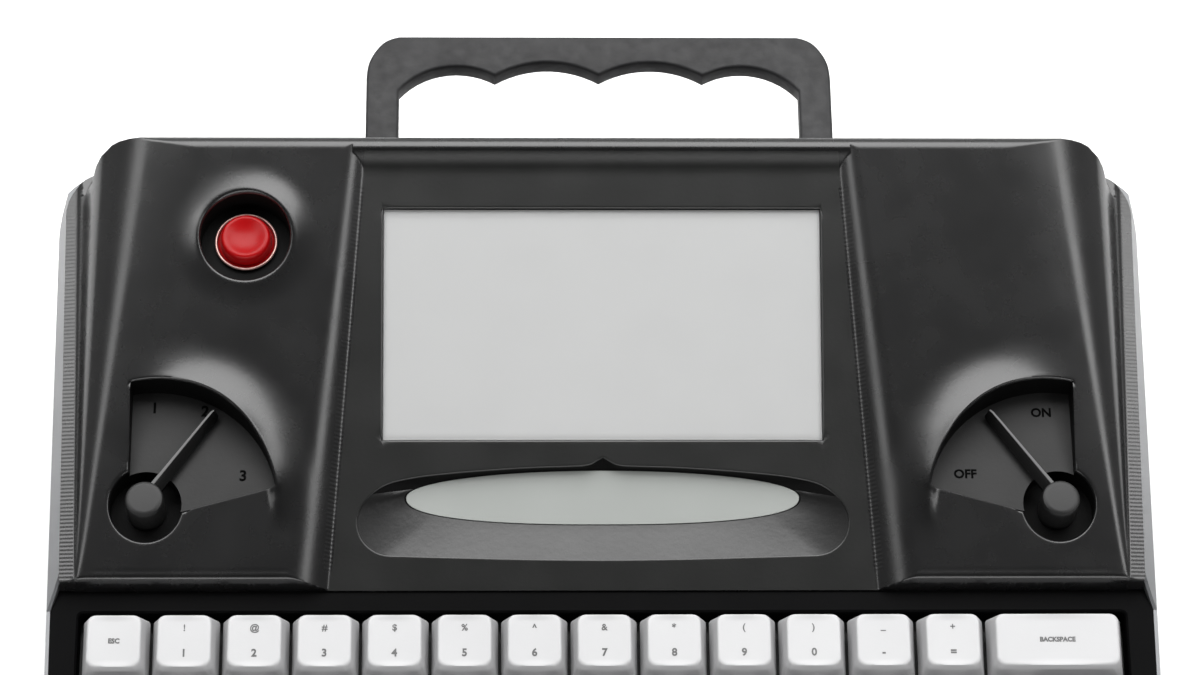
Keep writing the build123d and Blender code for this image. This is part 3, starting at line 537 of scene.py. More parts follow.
def lifted(plane, loop_xv, solve=True):
    """Plan positions (x, a) where lines square to the plane through loop points meet the hood's surface."""
    x, v = loop_xv[:, 0], loop_xv[:, 1]
    n = np.zeros(len(x))
    for _ in range(30):
        p = plane.at(x, v, n)
        n = n + (hood_z(x, p[:, 1] - YW) - p[:, 2]) * 0.9
    p = plane.at(x, v, n)
    return np.stack([p[:, 0], p[:, 1] - YW], 1)


def hood_plan():
    """Outer boundary of the hood seen from above, as (x, a), with equal halves."""
    right = []
    for a in np.linspace(0.9, 107.0, 60):
        right.append((lerp(3, 148.7, 121, 151.0, a) + 0.35, a))
    r = lerp(3, 148.7, 121, 151.0, 107.0) + 0.35 - 139.9
    for t in np.linspace(0, math.pi / 2, 13)[1:]:
        right.append((139.9 + (r + 1.6 * math.sin(t) * math.cos(t)) * math.cos(t), 107.0 + (r + (14.0 - r) * math.sin(t) ** 0.5) * math.sin(t)))
    rear_line = [(x, 121.0) for x in np.arange(138.0, 0, -3.0)]
    half = right + rear_line
    return np.array(half)


CORNER_RINGS = (3.3, 3.9, 4.5, 4.9, 5.25, 5.6, 5.9, 6.2, 6.45, 6.7, 6.9, 7.1, 7.3, 7.5, 7.7, 7.9, 8.1, 8.4, 8.8, 9.3)


def oval(t, ex, eu):
    """Long oval round OVAL_U: elliptic above, fuller below."""
    c, q = np.cos(t), np.sin(t)
    e = np.where(q > 0, 2 / 2.05, 2 / 2.5)
    return np.stack([ex * np.sign(c) * np.abs(c) ** e, OVAL_U + eu * np.sign(q) * np.abs(q) ** e], 1)


def make_hood():
    s = Sheet()
    fan_uv = dense(fan_outline(), 1.1)
    loops, planes = [], []
    for side in (-1, 1):
        xv = np.stack([side * (HUB_X + fan_uv[:, 0]), HUB_V + fan_uv[:, 1]], 1)
        loops.append(xv)
    fan_top = [lifted(MECH, l) for l in loops]
    but_xv = circle(BUTTON_X, 0, BUTTON_RX, 84)
    but_xv[:, 1] = BUTTON_DV + but_xv[:, 1] * BUTTON_RV / BUTTON_RX
    but_top = lifted(SEAT, but_xv)
    # window and tray outlines on the panel, as (x, u)
    win = dense(np.array([(-61.1, 42.6), (61.1, 42.6), (61.1, 108.0), (-61.1, 108.0)]), 2.0)
    half_tray = [(1.4, 37.0), (3.0, 36.05), (5.2, 35.5), (9.0, 35.3), (20.0, 34.95), (32.0, 34.2), (42.8, 33.3), (52.5, 32.1), (60.2, 30.1), (65.2, 26.2), (67.8, 20.8), (66.7, 15.4), (63.6, 12.2), (60.6, 10.95), (54.0, 10.6), (40.0, 10.2), (22.0, 9.75)]
    right_side = [(x, u) for x, u in half_tray if x > 1]
    smooth_part = spline(right_side + [(0.0, 9.5)] + [(-x, u) for x, u in right_side[::-1]], 1.3, closed=False)
    tray = np.vstack([[(0.0, 37.9)], smooth_part[::1]])
    tray = ccw(tray)
    cosp = math.cos(rad(19.0))
    win_pl = np.stack([win[:, 0], win[:, 1] * cosp], 1)
    tray_pl = np.stack([tray[:, 0], tray[:, 1] * cosp], 1)

    outer_half = hood_plan()
    outer = np.vstack([outer_half, [(0.0, 121.0)], np.stack([-outer_half[::-1, 0], outer_half[::-1, 1]], 1)])
    front = [(x, 0.9) for x in np.arange(-148.0, 148.5, 1.5)]
    outer = np.vstack([outer, front])
    outer = ccw(outer)

    # rows of points that follow the features
    rows = list(np.array([0.9, 1.02, 1.2, 1.45, 1.65, 1.75, 1.95, 2.25, 2.65, 3.1, 3.6, 4.0, 4.5, 5.3, 6.4]))
    rows += list(np.arange(7.6, 112.4, 1.25))
    rows += [float(r) for r in np.arange(112.75, 120.6, 0.42)] + [120.7, 120.85, 121.0]
    pts = []
    for a in rows[1:-1]:
        x0 = lerp(3, 75.5, 121, 65.9, a)
        x1 = lerp(3, 82.4, 121, 69.4, a)
        h1 = lerp(3, 4.8, 121, 2.0, a)
        x2 = lerp(3, 143.0, 121, 131.5, a)
        x4 = lerp(3, 144.8, 121, 146.5, a)
        x5 = lerp(3, 148.7, 121, 151.0, a) + 0.35
        xs = list(np.linspace(0, x0 - 0.7, 27)[:-1])
        xs += list(np.linspace(x0 - 0.7, x0 + 0.6, 5)[:-1])
        xs += list(np.linspace(x0 + 0.6, x1 + h1 + 0.3, 23)[:-1])
        xs += list(np.linspace(x1 + h1 + 0.3, x2 - 5.0, 42)[:-1])
        xs += list(np.linspace(x2 - 5.0, x5, 42)[:-1])
        for x in xs:
            pts.append((x, a))
            if x > 0:
                pts.append((-x, a))
    # rings round the rear corners
    for side in (-1, 1):
        for r in CORNER_RINGS:
            for t in np.linspace(0, math.pi / 2, 26):
                pts.append((side * (135.5 + r * math.cos(t)), 113.5 + r * math.sin(t)))
    pts = np.array(pts)
    corner_r = np.hypot(np.maximum(np.abs(pts[:, 0]) - 135.5, 0), np.maximum(pts[:, 1] - 113.5, 0))
    grid_n = len(pts) - 2 * len(CORNER_RINGS) * 26
    is_ring = np.arange(len(pts)) >= grid_n
    near_corner = (np.abs(pts[:, 0]) > 135.55) & (pts[:, 1] > 113.55) & (corner_r > 3.6) & (corner_r < 9.6)
    keep = is_ring | ~near_corner
    # keep the rings inside the outer boundary
    keep &= inside(pts[:, 0], pts[:, 1], offset_loop(outer, -0.25))
    # rings of points round each opening, for a crisp rounded edge
    rings = []
    edge_steps = (0.12, 0.28, 0.5, 0.8, 1.25, 1.9, 2.7)
    for loop, reach in [(ccw(fan_top[0]), 3.0), (ccw(fan_top[1]), 3.0), (ccw(but_top), 3.0), (tray_pl, 0.9), (win_pl, 0.9)]:
        keep &= ~(inside(pts[:, 0], pts[:, 1], loop) | (dist_to(pts[:, 0], pts[:, 1], loop) < reach + 0.45))
        for d in edge_steps:
            if d > reach:
                break
            ring = offset_loop(loop, d)
            dd = dist_to(ring[:, 0], ring[:, 1], loop)
            ring = ring[(dd > d * 0.82) & ~inside(ring[:, 0], ring[:, 1], loop)]
            rings.append(ring)
    pts = np.vstack([pts[keep]] + rings)
    pts = pts[inside(pts[:, 0], pts[:, 1], offset_loop(outer, -0.05))]
    holes = [fan_top[0], fan_top[1], but_top, tray_pl, win_pl]
    v, f = triangulate(outer, holes, pts)
    z = hood_z(v[:, 0], v[:, 1])
    # rounded edges; on the dials the straight edges stay crisp
    for k, (loop, r) in enumerate([(fan_top[0], 0.7), (fan_top[1], 0.7), (but_top, 1.2), (tray_pl, 0.35), (win_pl, 0.4)]):
        near = np.flatnonzero((v[:, 0] > loop[:, 0].min() - 2) & (v[:, 0] < loop[:, 0].max() + 2) & (v[:, 1] > loop[:, 1].min() - 2) & (v[:, 1] < loop[:, 1].max() + 2))
        d = dist_to(v[near, 0], v[near, 1], loop)
        rr = np.full(len(near), r)
        if k < 2:
            uu, vv_ = dial_uv(v[near, 0], v[near, 1])
            on_cup = np.hypot(uu, vv_) < CUP_R + 2.2
            on_arc = np.hypot(uu - FAN_U, vv_ - FAN_V) > FAN_R - 1.2
            rr = np.where(on_cup, 0.85, np.where(on_arc, 0.6, 0.22))
        z[near] -= np.where(d < rr, rr - np.sqrt(np.maximum(0, rr * rr - (rr - d) ** 2)), 0)
    c = v[f]
    area2 = (c[:, 1, 0] - c[:, 0, 0]) * (c[:, 2, 1] - c[:, 0, 1]) - (c[:, 2, 0] - c[:, 0, 0]) * (c[:, 1, 1] - c[:, 0, 1])
    f = np.where(area2[:, None] > 0, f, f[:, ::-1])
    # material: panel inside the panel edge, hood elsewhere
    cen = v[f].mean(1)
    kind = np.where(np.abs(cen[:, 0]) > lerp(3, 144.8, 121, 146.5, cen[:, 1]) - 0.2, 5, 0)
    foot = np.abs(cen[:, 0]) - lerp(3, 75.5, 121, 65.9, cen[:, 1])
    valley = (foot > -1.1) & (foot < 1.9) & (cen[:, 1] > 6) & (cen[:, 1] < 108)
    is_panel = (np.abs(cen[:, 0]) < lerp(3, 75.5, 121, 65.9, cen[:, 1])) & (cen[:, 1] < 116.6)
    top3 = np.stack([v[:, 0], v[:, 1] + YW, z], 1)
    base = s.add(top3, [])
    for tri, p in zip(f, np.where(valley, 5, np.where(is_panel, 1, kind)).tolist()):
        s.f.append([base + int(i) for i in tri])
        s.m.append(p)
    key = {(round(x, 4), round(a, 4)): zz for (x, a), zz in zip(v, z)}

    def top_of(loop):
        zz = []
        for x, a in loop:
            q = key.get((round(x, 4), round(a, 4)))
            if q is None:
                k = np.argmin((v[:, 0] - x) ** 2 + (v[:, 1] - a) ** 2)
                q = z[k]
            zz.append(q)
        return np.stack([loop[:, 0], loop[:, 1] + YW, np.array(zz)], 1)

    # outer wall: down to the deck in front and to the parting line round the sides and rear
    o3 = top_of(outer)
    low = o3.copy()
    aa = low[:, 1] - YW
    side_or_rear = (aa > 0.95) & (aa < 120.95) & (np.abs(low[:, 0]) > 147)
    target = np.where((aa <= 0.95) & (np.abs(low[:, 0]) < 145.8), zd(aa) + 0.12, zl(np.maximum(aa, 0.9)) + 0.16)
    low[:, 2] = np.minimum(target, o3[:, 2] - 0.02)
    s.band(low, o3, 0)
    # underside flange so that no edge is open towards the tub
    inner = low.copy()
    shrink = offset_loop(np.stack([low[:, 0], low[:, 1]], 1), -4.5)
    inner[:, 0], inner[:, 1] = shrink[:, 0], shrink[:, 1]
    s.band(inner, low, 0)
    deep = inner.copy()
    deep[:, 2] = np.minimum(inner[:, 2], 41.0) - 2.0
    deep[:, 2] = np.where(inner[:, 1] - YW < 6, inner[:, 2], deep[:, 2])
    s.band(deep, inner, 0)

    # dials and hub cups
    for side, loop, top in zip((-1, 1), loops, fan_top):
        t3 = top_of(top)
        in_cup = np.hypot(fan_uv[:, 0], fan_uv[:, 1]) < CUP_R + 0.05
        floor_n = np.where(in_cup, -6.0, 0.0)
        wall_low = MECH.at(loop[:, 0], loop[:, 1], floor_n)
        mids = [t3 + (wall_low - t3) * k for k in (0.12, 0.45, 0.8)]
        chain = [t3] + mids + [wall_low]
        for p, q in zip(chain[1:], chain[:-1]):
            s.band(p, q, 2, flip=(side < 0))
        # dial floor without the cup
        uv = fan_uv
        fan_part = uv[~in_cup]
        start = np.flatnonzero((~in_cup) & np.roll(in_cup, 1))[0]
        order = [(start + i) % len(uv) for i in range(len(uv))]
        fan_part = np.array([uv[i] for i in order if not in_cup[i]])
        b0, b1 = math.atan2(-2.0, -9.8) % (2 * math.pi), math.atan2(8.77, 4.6)
        cup_arc = [(CUP_R * math.cos(t), CUP_R * math.sin(t)) for t in np.linspace(b0, b1, 30)]
        region = np.vstack([[(4.6, 8.77)], fan_part, cup_arc[:-1]])
        region = region[np.concatenate([[True], np.linalg.norm(np.diff(region, axis=0), axis=1) > 0.02])]
        gx, gv = np.meshgrid(np.arange(-36, 6, 1.5), np.arange(-4, 38, 1.5))
        g = np.stack([gx.ravel(), gv.ravel()], 1)
        g = g[inside(g[:, 0], g[:, 1], region) & (dist_to(g[:, 0], g[:, 1], region) > 0.7)]
        vv, ff = triangulate(ccw(region), [], g)
        cc = vv[ff]
        ar = (cc[:, 1, 0] - cc[:, 0, 0]) * (cc[:, 2, 1] - cc[:, 0, 1]) - (cc[:, 2, 0] - cc[:, 0, 0]) * (cc[:, 1, 1] - cc[:, 0, 1])
        want = ar * side > 0
        ff = np.where(want[:, None], ff, ff[:, ::-1])
        s.add(MECH.at(side * (HUB_X + vv[:, 0]), HUB_V + vv[:, 1], 0.0), ff.tolist(), 3)
        # cup wall under the dial floor and cup bottom
        arc = np.array(cup_arc)
        hi = MECH.at(side * (HUB_X + arc[:, 0]), HUB_V + arc[:, 1], 0.0)
        lo = MECH.at(side * (HUB_X + arc[:, 0]), HUB_V + arc[:, 1], -6.0)
        s.band(lo, hi, 2, closed=False, flip=(side > 0))
        full = circle(0, 0, CUP_R, 64)
        ring_out = MECH.at(side * (HUB_X + full[:, 0]), HUB_V + full[:, 1], -6.0)
        half = circle(0, 0, 3.1, 64)
        ring_in = MECH.at(side * (HUB_X + half[:, 0]), HUB_V + half[:, 1], -6.0)
        s.band(ring_in, ring_out, 2, flip=(side > 0))
    # button recess
    t3 = top_of(but_top)
    fl = SEAT.at(but_xv[:, 0], but_xv[:, 1], 0.0)
    chain = [t3] + [t3 + (fl - t3) * k for k in (0.15, 0.5)] + [fl]
    for p, q in zip(chain[1:], chain[:-1]):
        s.band(p, q, 2, flip=False)
    inner_c = circle(BUTTON_X, 0, 7.8, 84)
    s.band(SEAT.at(inner_c[:, 0], inner_c[:, 1], 0.0), fl, 2, flip=True)
    # window walls
    w3 = top_of(win_pl)
    depth = PANEL.at(win[:, 0], win[:, 1], -2.45)
    s.band(depth, w3, 2)
    # tray: facets from its outline to the level ground round the oval window
    tr3 = top_of(tray_pl)
    ex, eu = 54.9, 7.75
    inner_xu = []
    for (x, u) in tray:
        # nearest direction mapping: same x as far as possible, so the lower facet stays flat
        xi = np.clip(x * 0.80, -ex * 0.999, ex * 0.999)
        e = 2.05 if u > 23.5 else 2.5
        k = max(0.0, 1 - abs(xi / ex) ** e) ** (1 / e)
        ui = OVAL_U + (eu * k if u > 23.5 else -eu * k)
        inner_xu.append((xi, ui))
    inner_xu = np.array(inner_xu)
    # relax the ends so that points are spread round the tip of the ellipse
    sgn = np.where(tray[:, 1] > 24.0, 1, -1)
    tt = np.arctan2((tray[:, 1] - 22.5) * 3.1, tray[:, 0] * 0.82)
    ell = oval(tt, ex, eu)
    w = smoothstep((np.abs(tray[:, 0]) - 52.0) / 12.0)[:, None]
    inner_xu = inner_xu * (1 - w) + ell * w
    lvl = PANEL.at(inner_xu[:, 0], inner_xu[:, 1], -3.0)
    steps = [tr3] + [tr3 + (lvl - tr3) * k for k in (0.25, 0.5, 0.75)] + [lvl]
    # painted shade: the tray's upper facets face the front and take the near-black recess material (index 2) instead of
    # the tray material, standing in for the shade there
    upper = (tray[:, 1] > 27.0) & (np.roll(tray[:, 1], -1) > 27.0)
    for p, q in zip(steps[1:], steps[:-1]):
        first = len(s.m)
        s.band(p, q, 4)
        for i in np.flatnonzero(upper):
            s.m[first + int(i)] = 2
    # short straight wall from there to the oval window
    lens_xu = np.stack([inner_xu[:, 0] * (54.4 / ex), OVAL_U + (inner_xu[:, 1] - OVAL_U) * (7.5 / eu)], 1)
    s.band(PANEL.at(lens_xu[:, 0], lens_xu[:, 1], -3.05), lvl, 2)
    s.band(PANEL.at(lens_xu[:, 0], lens_xu[:, 1], -3.9), PANEL.at(lens_xu[:, 0], lens_xu[:, 1], -3.05), 2)
    # material index 2 is the recess material with painted shade, used on the walls of the dials, hub cups, button
    # recess, window, tray top and oval
    ob = s.build("hood_shell", [MAT["hood"], MAT["panel"], MAT["cup"], MAT["dial"], MAT["tray"], MAT["ridge"]], sharp=32)
    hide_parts("display_hood")
    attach(ob, "body")
    return ob


make_hood()


# --------------------------------------------------------------------------
# windows
# --------------------------------------------------------------------------
def slab(name, loop_xu, n0, n1, mats, node, body="body", edge=0.25, plane=PANEL):
    """A pane with an eased top edge."""
    s = Sheet()
    loop = ccw(loop_xu)
    ins = offset_loop(loop, -edge)
    low = plane.at(loop[:, 0], loop[:, 1], n0)
    mid = plane.at(loop[:, 0], loop[:, 1], n1 - edge)
    mid2 = plane.at(loop[:, 0] * 0.3 + ins[:, 0] * 0.7, loop[:, 1] * 0.3 + ins[:, 1] * 0.7, n1 - edge * 0.25)
    top = plane.at(ins[:, 0], ins[:, 1], n1)
    s.band(low, mid)
    s.band(mid, mid2)
    s.band(mid2, top)
    s.cap(top)
    s.cap(low, flip=True)
    ob = s.build(name, mats, sharp=12)
    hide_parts(node)
    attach(ob, body)
    return ob


w, h, u = 122.2 / 2 - 0.05, 65.4 / 2 - 0.05, 75.3
slab("screen_pane", dense(np.array([(-w, u - h), (w, u - h), (w, u + h), (-w, u + h)]), 6.0), -4.0, -1.6, [MAT["screen"]], "display_window")
t = np.linspace(0, 2 * math.pi, 120, endpoint=False)
slab("status_pane", oval(t, 54.45, 7.55), -4.0, -3.0, [MAT["status"]], "status_window", edge=0.15)


# --------------------------------------------------------------------------
# materials for the CAD nodes that stay
# --------------------------------------------------------------------------
KEEP = {
    "base_shell": "silver", "rubber_feet": "rubber", "keyboard_bezel": "deck", "eink_panel": "paper",
    "display_bracket": "bracket", "display_screws": "steel", "display_cable": "amber", "keyboard_plate": "bracket",
    "switch_housings": "switch", "keyboard_pcb": "pcb", "plate_screws": "switch", "main_pcb": "pcb", "board_screws": "steel",
    "battery_pack": "wrap", "battery_straps": "bracket", "keyboard_cable": "amber", "charging_socket": "steel",
    "power_switch_body": "switch", "rotary_switches": "switch", "handle_brackets": "bracket", "handle_pins": "steel",
    "handle_screws": "steel", "case_screws": "steel", "power_button_ring": "ring",
}


def paint(node, key):
    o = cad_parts[node]
    o.data.materials.clear()
    o.data.materials.append(MAT[key])
    o.data.polygons.foreach_set("material_index", [0] * len(o.data.polygons))


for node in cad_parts:
    paint(node, KEEP.get(node, "key"))


# --------------------------------------------------------------------------
# keycaps
# --------------------------------------------------------------------------
PITCH = 19.05
CAP_N, CAP_H, TOP_V = -2.6, 8.6, 0.56
UNITS = [
    [1.0] * 13 + [2.0],
    [1.5] + [1.0] * 12 + [1.5],
    [1.75] + [1.0] * 11 + [2.25],
    [2.25] + [1.0] * 10 + [2.75],
    [2.25, 1.75, 7.0, 1.75, 2.25],
]
NAMES = [
    ["key_esc"] + ["key_%d" % d for d in (1, 2, 3, 4, 5, 6, 7, 8, 9, 0)] + ["key_minus", "key_equals", "key_backspace"],
    ["key_tab"] + ["letter_keys_upper_row"] * 12 + ["key_backslash"],
    ["key_caps_lock"] + ["letter_keys_home_row"] * 11 + ["key_enter"],
    ["key_shift_left"] + ["letter_keys_lower_row"] * 10 + ["key_shift_right"],
    ["key_function_left", "key_page_left", "key_space", "key_page_right", "key_function_right"],
]
LEGENDS = [
    ["Esc", "!1", "@2", "#3", "$4", "%5", "^6", "&7", "*8", "(9", ")0", "_-", "+=", "Backspace"],
    ["Tab"] + list("QWERTYUIOP") + ["{[", "}]", "|\\"],
    ["Caps Lock"] + list("ASDFGHJKL") + [":;", "\"'", "Enter"],
    ["Shift"] + list("ZXCVBNM") + ["<,", ">.", "?/", "Shift"],
    ["Fn", "Page", "", "Page", "Fn"],
]


def rounded_rect(cx, cy, w, h, r, k=5):
    pts = []
    for qx, qy, a0 in ((1, 1, 0), (-1, 1, 90), (-1, -1, 180), (1, -1, 270)):
        for i in range(k + 1):
            t = rad(a0 + 90 * i / k)
            pts.append((cx + qx * (w / 2 - r) + r * math.cos(t), cy + qy * (h / 2 - r) + r * math.sin(t)))
    return pts


def keycap(s, x, sv, units):
    w = 18.2 + PITCH * (units - 1)
    wt = w - 3.9
    steps = max(1, int(round(units * 1.0)))

    def ring(cx, cy, ww, hh, r, n, dish=0.0):
        pts = []
        base = rounded_rect(cx, cy, ww, hh, r)
        # extra points along the long sides so that the dish stays smooth
        out = []
        for i in range(len(base)):
            p, q = np.array(base[i]), np.array(base[(i + 1) % len(base)])
            m = 8 * steps if i in (5, 17) else (6 if i in (11, 23) else 1)
            for k in range(m):
                out.append(p + (q - p) * k / m)
        out = np.array(out)
        if dish and units < 6:
            half = wt / 2
            d = dish * (1 - np.clip(np.abs(out[:, 0] - x) / half, 0, 1) ** 2)
            nn = n - d
        elif dish:
            d = -dish * 0.8 * (1 - np.clip(np.abs(out[:, 1] - (sv + TOP_V)) / 7.2, 0, 1) ** 2)
            nn = n - 0.9 - d
        else:
            nn = np.full(len(out), n)
        return DECK.at(out[:, 0], out[:, 1], nn)

    top = CAP_N + CAP_H
    levels = [
        (sv, w, 18.2, 1.2, CAP_N, 0),
        (sv + 0.06, w - 0.5, 17.7, 1.35, CAP_N + 1.2, 0),
        (sv + 0.40, w - 2.3, 15.9, 2.0, CAP_N + 5.4, 0),
        (sv + 0.52, w - 3.2, 15.05, 2.3, CAP_N + 7.55, 0),
        (sv + 0.55, w - 3.6, 14.65, 2.3, CAP_N + 8.2, 0.05),
        (sv + TOP_V, w - 4.2, 14.05, 2.15, CAP_N + 8.52, 0.35),
        (sv + TOP_V, w - 5.2, 13.05, 1.9, CAP_N + 8.6, 0.62),
        (sv + TOP_V, w - 7.6, 10.6, 1.5, CAP_N + 8.6, 0.62),
        (sv + TOP_V, w - 10.6, 7.6, 1.1, CAP_N + 8.6, 0.62),
        (sv + TOP_V, max(w - 13.8, 1.6), 4.4, 0.6, CAP_N + 8.6, 0.62),
        (sv + TOP_V, max(w - 16.6, 0.5), 1.6, 0.2, CAP_N + 8.6, 0.62),
        (sv + TOP_V, max(w - 18.0, 0.02), 0.004, 0.001, CAP_N + 8.6, 0.62),
    ]
    rings = [ring(x, c, ww, hh, r, n, d) for c, ww, hh, r, n, d in levels]
    for p, q in zip(rings[:-1], rings[1:]):
        s.band(p, q)
    s.cap(rings[-1])
    # inside: walls and ceiling
    r_in0 = ring(x, sv, w - 2.6, 15.6, 0.9, CAP_N, 0)
    r_in1 = ring(x, sv + 0.9, w - 7.6, 10.6, 1.2, CAP_N + 7.0, 0)
    s.band(r_in0, rings[0])
    s.band(r_in1, r_in0)
    s.cap(r_in1, flip=True)
    # stem
    st = circle(x, sv, 2.5, 16)
    s.band(DECK.at(st[:, 0], st[:, 1], -1.0), DECK.at(st[:, 0], st[:, 1], CAP_N + 7.0), 0)
    sq = np.array([(x - 3.4, sv - 2.7), (x + 3.4, sv - 2.7), (x + 3.4, sv + 2.7), (x - 3.4, sv + 2.7)])
    lo, hi = DECK.at(sq[:, 0], sq[:, 1], -8.2), DECK.at(sq[:, 0], sq[:, 1], -1.0)
    s.band(lo, hi, 1)
    s.cap(hi, 1)
    s.cap(lo, 1, flip=True)


def text_mesh(txt, size, x, v, n, name, plane=DECK, bold=0.0, angle=0.0, mat="legend", thick=0.12):
    cu = bpy.data.curves.new(name, "FONT")
    cu.body = txt
    cu.align_x = "CENTER"
    cu.align_y = "CENTER"
    cu.size = size * MM
    cu.extrude = thick * MM / 2
    cu.offset = bold * MM
    cu.resolution_u = 3
    ob = bpy.data.objects.new(name, cu)
    bpy.context.scene.collection.objects.link(ob)
    bpy.context.view_layer.update()
    dg = bpy.context.evaluated_depsgraph_get()
    me = bpy.data.meshes.new_from_object(ob.evaluated_get(dg))
    bpy.data.objects.remove(ob)
    p = plane.at(x, v, n) * MM
    ca, sa = math.cos(angle), math.sin(angle)
    ex = Vector((1, 0, 0)) * ca + Vector(plane.v) * sa
    ey = -Vector((1, 0, 0)) * sa + Vector(plane.v) * ca
    m = Matrix((ex, ey, Vector(plane.n))).transposed().to_4x4()
    m.translation = Vector(p)
    me.transform(m)
    me.materials.clear()
    me.materials.append(MAT[mat])
    return me


def drape(me, x, sv, units):
    """Presses a flat legend onto the dished top of a keycap."""
    half = (18.2 + PITCH * (units - 1) - 3.9) / 2
    nn = DECK.n
    for v in me.vertices:
        p = np.array(v.co) / MM
        n = float(np.dot(p - DECK.o, nn))
        d = 0.62 * (1 - min(1.0, abs(p[0] - x) / half) ** 2)
        want = CAP_N + CAP_H - d + (n - (CAP_N + CAP_H))
        v.co = Vector(p + (want - n) * nn) * MM


def join_meshes(name, meshes, body):
    bm = bmesh.new()
    for me in meshes:
        bm.from_mesh(me)
    out = bpy.data.meshes.new(name)
    bm.to_mesh(out)
    bm.free()
    out.materials.append(meshes[0].materials[0])
    ob = bpy.data.objects.new(name, out)
    bpy.context.scene.collection.objects.link(ob)
    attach(ob, body)
    return ob


places = {}
for r, (units, names, legends) in enumerate(zip(UNITS, NAMES, LEGENDS)):
    edge = -7.5 * PITCH
    for u, nm, lg in zip(units, names, legends):
        places.setdefault(nm, []).append((edge + u * PITCH / 2, -15.6 - r * PITCH, u, lg))
        edge += u * PITCH

for nm, items in places.items():
    s = Sheet()
    texts = []
    for x, sv, u, lg in items:
        keycap(s, x, sv, u)
        top_n = CAP_N + CAP_H
        first = len(texts)
        cy = sv + TOP_V
        if len(lg) == 2 and not lg.isalpha():
            texts.append(text_mesh(lg[0], 2.6, x, cy + 3.7, top_n + 0.03, "t", bold=0.05))
            texts.append(text_mesh(lg[1], 3.0, x, cy - 3.5, top_n + 0.03, "t", bold=0.09))
        elif len(lg) == 1:
            texts.append(text_mesh(lg, 3.4, x, cy + 0.2, top_n + 0.03, "t", bold=0.08))
        elif lg:
            texts.append(text_mesh(lg.upper(), 1.9 if len(lg) < 6 else 1.8, x, cy + 0.0, top_n + 0.03, "t", bold=0.08))
        for me in texts[first:]:
            drape(me, x, sv, u)
    ob = s.build(nm + "_caps", [MAT["key"], MAT["switch"]], sharp=50)
    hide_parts(nm)
    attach(ob, nm + "_body")
    if texts:
        join_meshes(nm + "_legend", texts, nm + "_body")


# --------------------------------------------------------------------------
# power button cap and selector levers
# --------------------------------------------------------------------------
def lathe(s, plane, cx, cv, profile, seg=72, mat=0, close_top=True):
    rings = []
    for r, n in profile:
        c = circle(cx, cv, max(r, 0.001), seg)
        rings.append(plane.at(c[:, 0], c[:, 1], n))
    for p, q in zip(rings[:-1], rings[1:]):
        s.band(p, q, mat)
    return rings


s = Sheet()
prof = [(0.01, -12.0), (1.95, -12.0), (1.95, -6.0), (7.0, -6.0), (7.0, 2.6), (6.95, 3.5), (6.8, 4.2), (6.55, 4.65), (6.2, 4.92), (5.8, 4.98), (5.3, 4.86), (4.6, 4.55), (3.5, 4.12), (2.3, 3.8), (1.1, 3.64), (0.01, 3.6)]
lathe(s, SEAT, BUTTON_X, 0, prof)
ob = s.build("power_button", [MAT["red"]], sharp=45)
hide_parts("power_button_cap")
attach(ob, "power_button_body")

s = Sheet()
# painted shade: the lower ledge deep in the recess uses the darkened recess material; the bead on top uses the ring
# metal, whose pink tint is a painted reflection of the red cap
lathe(s, SEAT, BUTTON_X, 0, [(7.08, -6.5), (7.7, -6.5), (7.7, 0.02), (8.75, 0.02), (8.75, 1.05)], mat=1)
lathe(s, SEAT, BUTTON_X, 0, [(8.75, 1.05), (8.7, 1.3), (8.55, 1.5), (8.35, 1.58), (8.16, 1.5), (8.02, 1.3), (7.98, 1.05)], mat=0)
lathe(s, SEAT, BUTTON_X, 0, [(7.98, 1.05), (7.9, 0.7), (7.5, 0.5), (7.08, 0.45), (7.08, -6.5)], mat=2)
ob = s.build("button_bead", [MAT["ring"], MAT["cup"], MAT["red"]], sharp=50)
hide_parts("power_button_ring")
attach(ob, "body")

for side, label in ((-1, "left_selector"), (1, "right_selector")):
    hx, hv = side * HUB_X, HUB_V
    ang = rad(54.7) if side < 0 else rad(180 - 54.7)
    s = Sheet()
    lathe(s, MECH, hx, hv, [(0.01, -15.0), (3.0, -15.0), (3.0, -5.5), (5.3, -5.5), (5.3, 3.6), (5.22, 4.2), (4.95, 4.7), (4.5, 4.95), (3.8, 5.0), (0.01, 5.0)], mat=0)
    # lever bar: a crowned, tapering blade
    ca, sa = math.cos(ang), math.sin(ang)

    def at(d, w, n):
        return MECH.at(hx + ca * d - sa * w, hv + sa * d + ca * w, n)

    ds = np.linspace(3.2, 32.3, 14)
    rows3 = []
    for i, d in enumerate(ds):
        hw = 1.75 - 0.5 * (d / 31.1)
        if i == len(ds) - 1:
            hw = 0.8
        if i == len(ds) - 2:
            d = 31.3
            hw = 1.15
        # a flat strip along the rear edge, a steep slope towards the front
        pr = [(-hw, 1.0), (-hw, 2.0), (0.30 * hw, 4.1), (0.42 * hw, 4.2), (0.88 * hw, 4.2), (hw, 4.0), (hw, 1.0)]
        if side > 0:
            pr = [(-w_, n_) for w_, n_ in pr[::-1]]
        rows3.append(np.array([at(d, w_, n_) for w_, n_ in pr]))
    for p, q in zip(rows3[:-1], rows3[1:]):
        s.band(q, p, 1, closed=True, flip=False)
    s.cap(rows3[-1][::-1], 1)
    ob = s.build(label + "_knob", [MAT["hub"], MAT["lever"]], sharp=25)
    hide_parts(label + "_lever")
    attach(ob, label + "_body")

